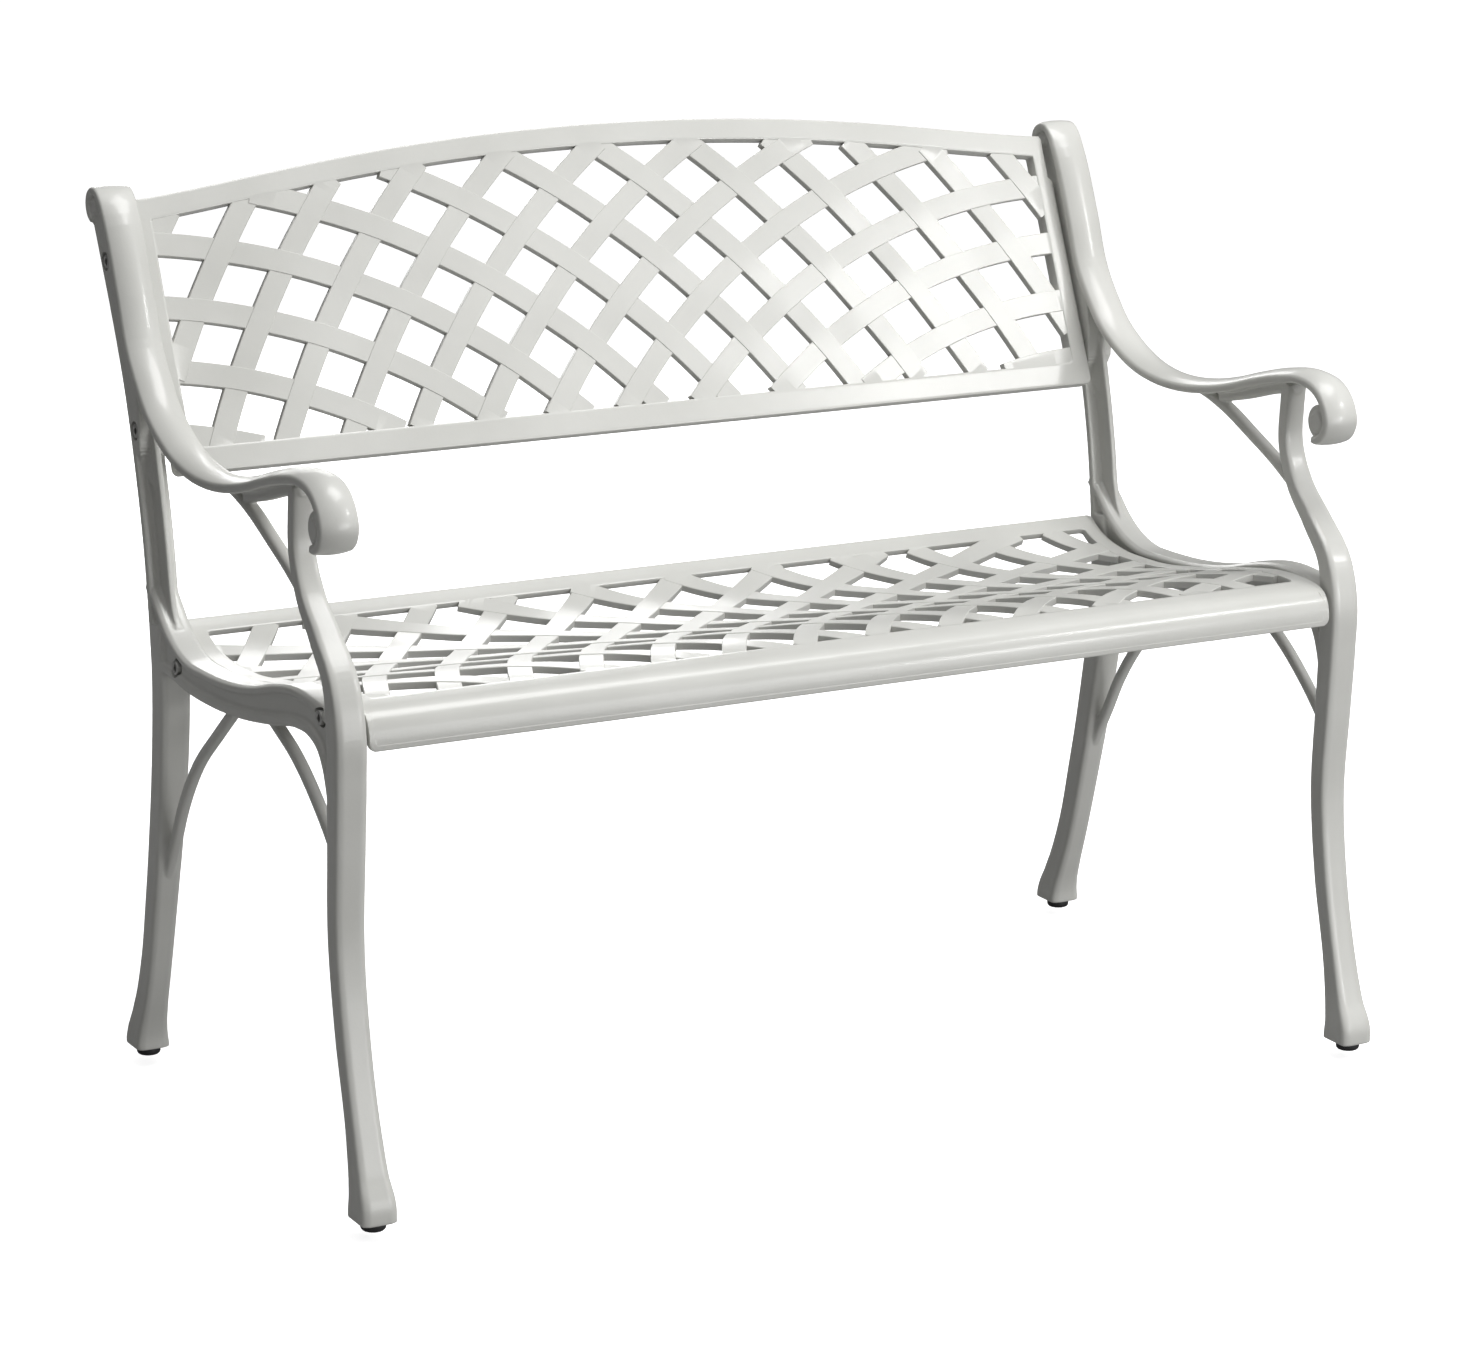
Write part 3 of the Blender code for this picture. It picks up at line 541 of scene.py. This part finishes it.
def band_section(crown):
    """The strap: flat below, crowned above and rounded at both edges."""
    half = BAND_WIDTH / 2
    low = -BAND_EDGE / 2
    high = BAND_EDGE / 2
    places = np.linspace(CROWN_REACH, -CROWN_REACH, CROWN_STEPS)
    top = [(half * u, high + crown * (1 - u**2)) for u in places]
    left = [(-half, high - BAND_SOFT), (-half, low + BAND_SOFT), (-half + BAND_SOFT, low)]
    right = [(half - BAND_SOFT, low), (half, low + BAND_SOFT), (half, high - BAND_SOFT)]
    return top + left + right


def band_crowns(line):
    """Height of the band's crown along its line: full along the arm and the post, low where it rolls up."""
    along = lengths(line)
    fades = [along[-1] - length for length in CROWN_FADES]
    places = (0.0, *CROWN_GROWS, *fades, along[-1])
    crowns = (ROLLED_CROWN, CROWN_PART * BAND_CROWN, BAND_CROWN, BAND_CROWN, ROLLED_CROWN, ROLLED_CROWN)
    return np.interp(along, places, crowns)


def scroll(y, z, radius):
    """Filling of a rolled end: a sunk disc with a raised round eye, and a groove between eye and band."""
    return disc("scroll", y, z, radius, DISC_WIDTH), disc("eye", y, z, EYE_SHARE * radius, EYE_WIDTH)


def arm():
    """Band of the armrest and the post with its two rolled ends, and the rib and brace under the arm."""
    band = curve_through(BAND_LINE, COARSE_SPAN)
    return [
        sweep("band", band, [band_section(crown) for crown in band_crowns(band)]),
        *scroll(*ARM_CURL),
        *scroll(*TOP_SCROLL),
        bar("arm_rib", ARM_RIB),
        bar("arm_brace", ARM_BRACE, BRACE_SQUARENESS),
    ]


def side_frame_mesh():
    """One casting, drawn about x = 0: bars, plates and band fused, with cast fillets between them."""
    casting = join("casting", [
        leg("front_leg", FRONT_LEG),
        leg("rear_leg", REAR_LEG),
        *rail(),
        *post(),
        *arm(),
        bar("rear_strut", REAR_STRUT, STRUT_SQUARENESS),
        bar("front_strut", FRONT_STRUT, STRUT_SQUARENESS),
    ])
    remesh = casting.modifiers.new("fuse", "REMESH")
    remesh.mode = "VOXEL"
    remesh.voxel_size = VOXEL
    smooth = casting.modifiers.new("cast_fillets", "SMOOTH")
    smooth.factor = 0.5
    smooth.iterations = SMOOTH_ROUNDS
    apply_modifiers(casting)
    return casting


def side_frames():
    """The right frame is the casting moved into place, the left frame its mirror image."""
    casting = side_frame_mesh()
    frames = []
    for name, side in SIDES:
        mesh = casting.data.copy()
        mirror = Matrix.Diagonal((side, 1.0, 1.0, 1.0))
        mesh.transform(Matrix.Translation((side * FRAME_PLANE, DATUM_Y, 0.0)) @ mirror)
        if side < 0:
            mesh.flip_normals()
        item = bpy.data.objects.new(f"{name}_frame_casting", mesh)
        bpy.context.scene.collection.objects.link(item)
        cutters = []
        for _, y, z in BOLT_AXES:
            floor = side * COUNTERBORE_FLOOR
            mouth = side * COUNTERBORE_MOUTH
            cutters.append(cylinder_x("bore", floor, mouth, y + DATUM_Y, z, COUNTERBORE_RADIUS))
        combine(item, cutters, "DIFFERENCE")
        shade(item, CASTING_CREASE)
        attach(item, "bench")
        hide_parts(f"{name}_side_frame")
        frames.append(item)
    bpy.data.objects.remove(casting)
    return frames


# Panels

def back_top(x):
    """Height of the arched top edge across the back panel."""
    flat, second, fourth, sixth = ARCH_TERMS
    return flat + second * x**2 + fourth * x**4 + sixth * x**6


def place_back(x, s, depth):
    """From the flat drawing of the back panel to the bench."""
    y = BACK_ORIGIN[0] + s * math.sin(BACK_LEAN) + depth * math.cos(BACK_LEAN)
    z = BACK_ORIGIN[1] + s * math.cos(BACK_LEAN) - depth * math.sin(BACK_LEAN)
    return (x, y + DATUM_Y, z)


SEAT_CURVE = curve_through(SEAT_LINE, MIDDLE_SPAN)
SEAT_ALONG = lengths(SEAT_CURVE)
SEAT_ALONG = SEAT_ALONG - np.interp(0.0, SEAT_CURVE[:, 0], SEAT_ALONG)
SEAT_HEADINGS = headings(SEAT_CURVE)


def seat_along(y):
    """Length along the seat's top line at a place y, counted rearwards from y = 0."""
    return float(np.interp(y, SEAT_CURVE[:, 0], SEAT_ALONG))


def place_seat(x, s, depth):
    """From the flat drawing of the seat panel to the bench."""
    y, z, dy, dz = (np.interp(s, SEAT_ALONG, column) for column in (*SEAT_CURVE.T, *SEAT_HEADINGS.T))
    return (x, y + dz * depth + DATUM_Y, z - dy * depth)


def slat_section(thickness):
    """Cross-section of a slat as (across, depth) pairs: flat, with small bevels."""
    half = SLAT_WIDTH / 2
    deep = thickness / 2
    corners = ((half, deep), (-half, deep), (-half, -deep), (half, -deep))
    section = []
    for k, (across, down) in enumerate(corners):
        beside = (across - math.copysign(SLAT_BEVEL, across), down)
        below = (across, down - math.copysign(SLAT_BEVEL, down))
        section += [below, beside] if k % 2 == 0 else [beside, below]
    return section


def weave(phase):
    """+1 at even slats of the other family and -1 at odd ones."""
    return math.cos(math.pi * phase)


def runs_inside(centre_x, centre_s, radius, inside):
    """Stretches of a circle's upper half that lie inside the panel's opening, as lists of angles."""
    runs = []
    run = []
    for a in np.arange(0.0, math.pi, SLAT_STEP / radius):
        if inside(centre_x + radius * math.cos(a), centre_s + radius * math.sin(a)):
            run.append(a)
        elif run:
            runs.append(run)
            run = []
    return [run for run in runs if len(run) >= SLAT_SHORTEST]


def slats(families, pitch, inside, place, thickness, parity):
    """All the slats of a panel, each swept along its circle and passing over and under the others."""
    section = slat_section(thickness)
    depth = SLAT_SETBACK + thickness / 2
    items = []
    for family, (centre_x, centre_s, first) in enumerate(families):
        other_x, other_s, other_first = families[1 - family]

        def ring(radius, a, sign):
            x = centre_x + radius * math.cos(a)
            s = centre_s + radius * math.sin(a)
            phase = (math.hypot(x - other_x, s - other_s) - other_first) / pitch
            lift = sign * WEAVE * weave(phase)
            points = []
            for across, down in section:
                r = radius + across
                x = centre_x + r * math.cos(a)
                s = centre_s + r * math.sin(a)
                points.append(place(x, s, depth - lift + down))
            return points

        for k in SLAT_NUMBERS:
            radius = first + k * pitch
            sign = parity * (-1) ** ((k + family) % 2)
            for run in runs_inside(centre_x, centre_s, radius, inside):
                items.append(skin("slat", [ring(radius, a, sign) for a in run]))
    return items


def rim(name, stations, place, soft=RIM_SOFT):
    """A border ring with softened edges. Each station is (outer point, inner point, thickness)."""
    cut = CORNER_CUT * soft
    rings = []
    for outer, inner, thickness in stations:
        outer = np.array(outer)
        inner = np.array(inner)
        width = np.linalg.norm(inner - outer)
        unit = (inner - outer) / width
        profile = [(0.0, thickness - soft), (0.0, soft), (cut, cut), (soft, 0.0)]
        profile += [(t, 0.0) for t in np.linspace(soft, width - soft, RIM_POINTS)[1:-1]]
        profile += [(width - soft, 0.0), (width - cut, cut), (width, soft), (width, thickness - soft)]
        profile += [(width - cut, thickness - cut), (width - soft, thickness)]
        profile += [(t, thickness) for t in np.linspace(width - soft, soft, RIM_POINTS)[1:-1]]
        profile += [(soft, thickness), (cut, thickness - cut)]
        rings.append([place(*(outer + unit * t), depth) for t, depth in profile])
    return skin(name, rings, closed_loop=True)


def corner_points(x, s, radius, start):
    """A quarter of a circle, from a start angle in degrees."""
    angles = [math.radians(start + 90 * k / CORNER_STEPS) for k in range(CORNER_STEPS + 1)]
    return [(x + radius * math.cos(a), s + radius * math.sin(a)) for a in angles]


def back_stations():
    """Border of the back panel: bottom rail, right stile, arch from right to left, and left stile."""
    inner_x = PANEL_END - STILE
    inset, relief = BACK_RELIEF
    top_x = PANEL_END - inset
    hole = BACK_OPENING_CORNER
    low = BACK_LOWEST + BACK_CORNER
    inner_low = BACK_OPENING_LOWEST + hole
    inner_top = back_top(inner_x) - BACK_TOP_RAIL
    side_share, foot_share, head_share, top_share = STILE_SHARES
    outer_drop, inner_drop = ARCH_DROP
    bottom = []
    for t in np.linspace(-1, 1, BACK_RAIL_POINTS):
        outer = ((PANEL_END - BACK_CORNER) * t, BACK_LOWEST)
        inner = ((inner_x - hole) * t, BACK_OPENING_LOWEST)
        bottom.append((outer, inner))
    outer_corner = corner_points(PANEL_END - BACK_CORNER, low, BACK_CORNER, 270)
    inner_corner = corner_points(inner_x - hole, inner_low, hole, 270)
    right = list(zip(outer_corner, inner_corner))[1:]
    for t in np.linspace(0, 1, STILE_POINTS)[1:-1]:
        outer = (PANEL_END, low + t * (relief - low))
        inner = (inner_x, inner_low + t * (inner_top * side_share - inner_low))
        right.append((outer, inner))
    right.append(((PANEL_END, relief), (inner_x, inner_top * foot_share)))
    right.append(((top_x, relief + inset), (inner_x, inner_top * head_share)))
    right.append(((top_x, BACK_RELIEF_TOP), (inner_x, inner_top * top_share)))
    right.append(((top_x, back_top(top_x) - outer_drop), (inner_x, inner_top - inner_drop)))
    arch = []
    for t in np.linspace(1, -1, ARCH_POINTS):
        outer_x = (top_x - ARCH_CHAMFER) * t
        opening_x = inner_x * t * ARCH_INNER_SHARE
        arch.append(((outer_x, back_top(outer_x)), (opening_x, back_top(opening_x) - BACK_TOP_RAIL)))
    left = [((-outer[0], outer[1]), (-inner[0], inner[1])) for outer, inner in right[::-1]]
    return [(outer, inner, BACK_THICKNESS) for outer, inner in bottom + right + arch + left]


def back_panel():
    inner_x = PANEL_END - STILE

    def inside(x, s):
        reach = back_top(x) - BACK_TOP_RAIL + SLAT_BITE
        return abs(x) < inner_x + SLAT_BITE and BACK_OPENING_LOWEST - SLAT_BITE < s < reach

    border = rim("back_lattice", back_stations(), place_back)
    parts = slats(BACK_FAMILIES, BACK_PITCH, inside, place_back, BACK_SLAT, BACK_PARITY)
    combine(border, parts, "UNION")
    return finish_panel(border, "back_panel")


def rounded_box(x, low, high, radii):
    """A rectangle with rounded corners, from its front left corner on; radii are (front, rear)."""
    front, rear = radii
    sides = np.linspace(low + front, high - rear, SEAT_SIDE_POINTS)[1:-1]
    points = [((x - front) * t, low) for t in np.linspace(-1, 1, SEAT_END_POINTS)]
    points += corner_points(x - front, low + front, front, 270)[1:]
    points += [(x, s) for s in sides]
    points += corner_points(x - rear, high - rear, rear, 0)
    points += [((x - rear) * t, high) for t in np.linspace(1, -1, SEAT_END_POINTS)[1:-1]]
    points += corner_points(rear - x, high - rear, rear, 90)
    points += [(-x, s) for s in np.linspace(high - rear, low + front, SEAT_SIDE_POINTS)[1:-1]]
    points += corner_points(front - x, low + front, front, 180)[:-1]
    return points


def box_stations(outer, inner, thickness):
    """Stations of a border between two rounded boxes, with a thickness that depends on the place along."""
    return [(out, into, thickness(out[1])) for out, into in zip(rounded_box(*outer), rounded_box(*inner))]


def seat_boss(y, side):
    """Block under a side border that takes a bolt."""
    centre = seat_along(y)
    low = max(centre - SEAT_BOSS / 2, seat_along(SEAT_BOSS_FRONT_Y))
    high = centre + SEAT_BOSS / 2
    inner_x = PANEL_END - STILE + SEAT_BOSS_INSET
    bottom = SEAT_RIM - SEAT_BOSS_SHORT
    corners = ((inner_x, SEAT_BOSS_TOP), (PANEL_END, SEAT_BOSS_TOP), (PANEL_END, bottom), (inner_x, bottom))
    rings = []
    for s in np.linspace(low, high, SEAT_BOSS_STEPS):
        rings.append([place_seat(side * x, s, depth) for x, depth in corners])
    return skin("boss", rings)


def seat_panel():
    inner_x = PANEL_END - STILE
    front = SEAT_ALONG[0]
    rear = SEAT_ALONG[-1]
    rear_hole = rear - SEAT_REAR_RAIL
    front_hole = seat_along(SEAT_FRONT_HOLE_Y)
    lip_grows = [seat_along(y) for y in SEAT_LIP_GROWS]

    def inside(x, s):
        return abs(x) < inner_x + SLAT_BITE and front_hole - SLAT_BITE < s < rear_hole + SLAT_BITE

    def sheet_depth(s):
        return SEAT_SHEET

    def lip_depth(s):
        return float(np.interp(s, lip_grows, (SEAT_SHEET - SEAT_LIP_HIDDEN, SEAT_RIM)))

    sheet = box_stations(
        (PANEL_END, front, rear, SEAT_OUTER_RADII),
        (inner_x, front_hole, rear_hole, SEAT_INNER_RADII),
        sheet_depth,
    )
    inset = SEAT_LIP_INSET
    lip = box_stations(
        (PANEL_END - inset, front + inset, rear - inset, SEAT_OUTER_RADII),
        (PANEL_END - SEAT_LIP, front + SEAT_LIP, rear - SEAT_LIP, SEAT_INNER_RADII),
        lip_depth,
    )
    border = rim("seat_lattice", sheet, place_seat)
    parts = slats(SEAT_FAMILIES, SEAT_PITCH, inside, place_seat, SEAT_SLAT, SEAT_PARITY)
    parts += [seat_boss(y, side) for name, y, _ in BOLT_AXES if name.startswith("seat") for side in (-1, 1)]
    combine(border, [rim("lip", lip, place_seat, SEAT_LIP_SOFT)] + parts, "UNION")
    return finish_panel(border, "seat_panel")


def finish_panel(panel, node):
    shade(panel, PANEL_CREASE)
    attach(panel, "bench")
    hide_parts(node)
    return panel


# Hardware

def bolt(node):
    """Socket cap screw along x, turned in place from the size of its node."""
    low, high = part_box(node)
    side = 1.0 if low.x > 0 else -1.0
    y = (low.y + high.y) / 2
    z = (low.z + high.z) / 2
    tip = min(abs(low.x), abs(high.x))
    top = max(abs(low.x), abs(high.x))
    head = (high.z - low.z) / 2
    under = top - BOLT_HEAD_LENGTH
    across_flats = SOCKET_CORNERS * math.cos(HEX_CORNER / 2)

    def ring(x, radii):
        places = zip(turn(ROUND_SIDES), radii)
        return [(side * x, y + radius * math.cos(a), z + radius * math.sin(a)) for a, radius in places]

    def round_ring(x, radius):
        return ring(x, [radius] * ROUND_SIDES)

    def hexagon(x):
        slants = [(a % HEX_CORNER) - HEX_CORNER / 2 for a in turn(ROUND_SIDES)]
        return ring(x, [across_flats / 2 / math.cos(slant) for slant in slants])

    profile = (
        (tip, BOLT_SHANK - BOLT_TIP_BEVEL), (tip + BOLT_TIP_BEVEL, BOLT_SHANK), (under, BOLT_SHANK),
        (under, head - 0.0002), (under + BOLT_EDGE, head), (top - 3 * BOLT_EDGE, head),
        (top - BOLT_EDGE, head - BOLT_EDGE), (top, head - 0.0010), (top, SOCKET_MOUTH),
        (top - 0.0005, SOCKET_THROAT),
    )
    rings = [round_ring(x, radius) for x, radius in profile]
    rings += [hexagon(top - 0.0008), hexagon(top - SOCKET_DEPTH)]
    item = skin(f"{node}_screw", rings)
    shade(item, BOLT_CREASE)
    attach(item, "bench")
    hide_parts(node)
    return item


def foot_pad(node, body):
    """Moulded nylon pad: domed underneath, with a shallow step below the cast foot."""
    low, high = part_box(node)
    x = (low.x + high.x) / 2
    y = (low.y + high.y) / 2
    radius = (high.x - low.x) / 2
    profile = [(PAD_SOCKET, 0.0)]
    profile += [(radius * share, height) for share, height in PAD_UNDERSIDE]
    profile += [(radius * share, high.z - drop) for share, drop in PAD_SHOULDER]
    rings = []
    for r, z in profile:
        rings.append([(x + r * math.cos(a), y + r * math.sin(a), z) for a in turn(PAD_SIDES)])
    item = skin(f"{node}_glide", rings)
    shade(item, PAD_CREASE)
    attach(item, body)
    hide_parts(node)
    return item


# Materials

def new_material(name):
    material = bpy.data.materials.new(name)
    material.use_nodes = True
    return material, material.node_tree, material.node_tree.nodes["Principled BSDF"]


def noise(tree, scale, detail):
    """Noise that is fixed to the object."""
    place = tree.nodes.new("ShaderNodeTexCoord")
    texture = tree.nodes.new("ShaderNodeTexNoise")
    texture.inputs["Scale"].default_value = scale
    texture.inputs["Detail"].default_value = detail
    tree.links.new(place.outputs["Object"], texture.inputs["Vector"])
    return texture.outputs["Fac"]


def tinted(tree, value, dark, pale, places=(0.0, 1.0)):
    """A colour that runs from dark to pale with the value."""
    ramp = tree.nodes.new("ShaderNodeValToRGB")
    for element, place, color in zip(ramp.color_ramp.elements, places, (dark, pale)):
        element.position = place
        element.color = color
    tree.links.new(value, ramp.inputs["Fac"])
    return ramp.outputs["Color"]


def spread(tree, value, low, high):
    """The value, which runs from 0 to 1, spread over another range."""
    mapped = tree.nodes.new("ShaderNodeMapRange")
    mapped.inputs["To Min"].default_value = low
    mapped.inputs["To Max"].default_value = high
    tree.links.new(value, mapped.inputs["Value"])
    return mapped.outputs["Result"]


def bumped(tree, height, strength, distance):
    bump = tree.nodes.new("ShaderNodeBump")
    bump.inputs["Strength"].default_value = strength
    bump.inputs["Distance"].default_value = distance
    tree.links.new(height, bump.inputs["Height"])
    return bump


def coat_material():
    """Pale grey powder coat: faint clouds of tone and gloss, fine orange peel and a slow swell below it."""
    material, tree, shader = new_material("powder_coat")
    shader.inputs["Coat Weight"].default_value = 0.28
    shader.inputs["Coat Roughness"].default_value = 0.13
    clouds = noise(tree, 7.0, 5.0)
    color = tinted(tree, clouds, (0.55, 0.55, 0.52, 1), (0.62, 0.62, 0.59, 1), (0.3, 0.7))
    peel = bumped(tree, noise(tree, 420.0, 2.0), 0.12, 0.0004)
    swell = bumped(tree, noise(tree, 38.0, 2.0), 0.18, 0.0012)
    tree.links.new(color, shader.inputs["Base Color"])
    tree.links.new(spread(tree, clouds, 0.30, 0.42), shader.inputs["Roughness"])
    tree.links.new(peel.outputs["Normal"], swell.inputs["Normal"])
    tree.links.new(swell.outputs["Normal"], shader.inputs["Normal"])
    return material


def steel_material(name, dark, pale):
    """Metal with a fine grain of tone and gloss."""
    material, tree, shader = new_material(name)
    shader.inputs["Metallic"].default_value = 1.0
    grain = noise(tree, 160.0, 4.0)
    tree.links.new(tinted(tree, grain, dark, pale), shader.inputs["Base Color"])
    tree.links.new(spread(tree, grain, 0.28, 0.5), shader.inputs["Roughness"])
    return material


def nylon_material():
    """Black moulded nylon with a fine matt grain."""
    material, tree, shader = new_material("black_nylon")
    grain = noise(tree, 300.0, 3.0)
    color = tinted(tree, grain, (0.010, 0.010, 0.011, 1), (0.026, 0.026, 0.027, 1))
    tree.links.new(color, shader.inputs["Base Color"])
    tree.links.new(spread(tree, grain, 0.42, 0.62), shader.inputs["Roughness"])
    tree.links.new(bumped(tree, grain, 0.2, 0.0003).outputs["Normal"], shader.inputs["Normal"])
    return material


def paint(item, material):
    item.data.materials.clear()
    item.data.materials.append(material)


# Studio

def studio():
    """Round floor, level with the feet screwed fully out, that carries a dome as the backdrop all round."""
    rings = []
    for rise in np.radians(np.linspace(*STAGE_RISES)):
        radius = STAGE_RADIUS * math.cos(rise)
        height = FLOOR_LEVEL + STAGE_RADIUS * math.sin(rise)
        rings.append([(radius * math.cos(a), radius * math.sin(a), height) for a in turn(STAGE_SIDES)])
    stage = skin("studio_floor", rings)
    stage.data.materials.append(stage_material())
    sky()
    for box in SOFTBOXES:
        softbox(*box)


def stage_material():
    """White to the eye. The floor throws back a little light and the dome lets the sky's light through."""
    material, tree, seen = new_material("studio_white")
    nodes = tree.nodes
    links = tree.links
    place = nodes.new("ShaderNodeTexCoord")
    split = nodes.new("ShaderNodeSeparateXYZ")
    links.new(place.outputs["Object"], split.inputs["Vector"])
    seen.inputs["Base Color"].default_value = (0.86, 0.86, 0.86, 1)
    seen.inputs["Roughness"].default_value = 1.0
    seen.inputs["Specular IOR Level"].default_value = 0.0
    seen.inputs["Emission Color"].default_value = (1.0, 1.0, 1.0, 1)
    links.new(spread(tree, split.outputs["Z"], 0.68, 1.0), seen.inputs["Emission Strength"])
    floor = nodes.new("ShaderNodeBsdfDiffuse")
    floor.inputs["Color"].default_value = (0.28, 0.28, 0.28, 1)
    dome = nodes.new("ShaderNodeBsdfTransparent")
    risen = nodes.new("ShaderNodeMath")
    risen.operation = "GREATER_THAN"
    risen.inputs[1].default_value = 0.01
    links.new(split.outputs["Z"], risen.inputs[0])
    thrown = nodes.new("ShaderNodeMixShader")
    links.new(risen.outputs["Value"], thrown.inputs["Fac"])
    links.new(floor.outputs["BSDF"], thrown.inputs[1])
    links.new(dome.outputs["BSDF"], thrown.inputs[2])
    path = nodes.new("ShaderNodeLightPath")
    choice = nodes.new("ShaderNodeMixShader")
    links.new(path.outputs["Is Camera Ray"], choice.inputs["Fac"])
    links.new(thrown.outputs["Shader"], choice.inputs[1])
    links.new(seen.outputs["BSDF"], choice.inputs[2])
    links.new(choice.outputs["Shader"], nodes["Material Output"].inputs["Surface"])
    return material


def sky():
    """A soft light all round, brightest overhead towards the front right and dimmest low on the left."""
    world = bpy.data.worlds.new("studio_world")
    bpy.context.scene.world = world
    world.use_nodes = True
    nodes = world.node_tree.nodes
    links = world.node_tree.links
    background = nodes["Background"]
    place = nodes.new("ShaderNodeTexCoord")
    towards = nodes.new("ShaderNodeVectorMath")
    towards.operation = "DOT_PRODUCT"
    towards.inputs[1].default_value = BRIGHT_SKY
    links.new(place.outputs["Generated"], towards.inputs[0])
    strength = nodes.new("ShaderNodeMapRange")
    strength.interpolation_type = "SMOOTHSTEP"
    strength.inputs["From Min"].default_value = -0.10
    strength.inputs["From Max"].default_value = 0.95
    strength.inputs["To Min"].default_value = 0.09
    strength.inputs["To Max"].default_value = 0.60
    links.new(towards.outputs["Value"], strength.inputs["Value"])
    links.new(strength.outputs["Result"], background.inputs["Strength"])
    background.inputs["Color"].default_value = (1.0, 1.0, 1.0, 1)


def softbox(name, towards, distance, size, power):
    """Square light in a direction from the middle of the bench, and facing it."""
    light = bpy.data.lights.new(name, "AREA")
    light.size = size
    light.energy = power
    item = bpy.data.objects.new(name, light)
    item.location = Vector(towards).normalized() * distance + Vector(LIGHT_CENTRE)
    item.rotation_euler = Vector(towards).to_track_quat("Z", "Y").to_euler()
    bpy.context.scene.collection.objects.link(item)


def camera():
    """Looks down along the yaw and pitch of the line of sight, with a slight roll."""
    level = math.cos(CAMERA_PITCH)
    forward = Vector((math.sin(CAMERA_YAW) * level, math.cos(CAMERA_YAW) * level, -math.sin(CAMERA_PITCH)))
    right = forward.cross(Vector((0, 0, 1))).normalized()
    up = right.cross(forward)
    turned_right = right * math.cos(CAMERA_ROLL) + up * math.sin(CAMERA_ROLL)
    turned_up = up * math.cos(CAMERA_ROLL) - right * math.sin(CAMERA_ROLL)
    x, y, z = CAMERA_PLACE
    data = bpy.data.cameras.new("photo_view")
    data.lens = CAMERA_LENS
    data.sensor_width = CAMERA_SENSOR
    item = bpy.data.objects.new("photo_view", data)
    item.matrix_world = Matrix((
        (turned_right.x, turned_up.x, -forward.x, x),
        (turned_right.y, turned_up.y, -forward.y, y + DATUM_Y),
        (turned_right.z, turned_up.z, -forward.z, z),
        (0, 0, 0, 1),
    ))
    bpy.context.scene.collection.objects.link(item)
    bpy.context.scene.camera = item


coat = coat_material()
steel = steel_material("zinc_plated_steel", (0.40, 0.40, 0.39, 1), (0.60, 0.60, 0.58, 1))
# Near-black steel for the washers: painted shade, standing in for the shade inside the counterbores around
# the bolt heads
counterbore_shade_steel = steel_material("steel_painted_as_counterbore_shade", (0.10, 0.10, 0.10, 1), (0.19, 0.19, 0.18, 1))
nylon = nylon_material()
for casting in side_frames():
    paint(casting, coat)
paint(back_panel(), coat)
paint(seat_panel(), coat)
for side_name, _ in SIDES:
    for place_name, _, _ in BOLT_AXES:
        paint(bolt(f"bolt_{place_name}_{side_name}"), steel)
    for end in ("front", "rear"):
        paint(foot_pad(f"foot_pad_{end}_{side_name}", f"foot_{end}_{side_name}"), nylon)
for node_name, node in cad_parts.items():
    if node_name.startswith("foot_stem"):
        paint(node, steel)
    elif "washer" in node_name:
        # Washers take the near-black steel, painted shade for the inside of the counterbores
        paint(node, counterbore_shade_steel)
studio()
camera()
bpy.context.scene.view_settings.view_transform = "Standard"
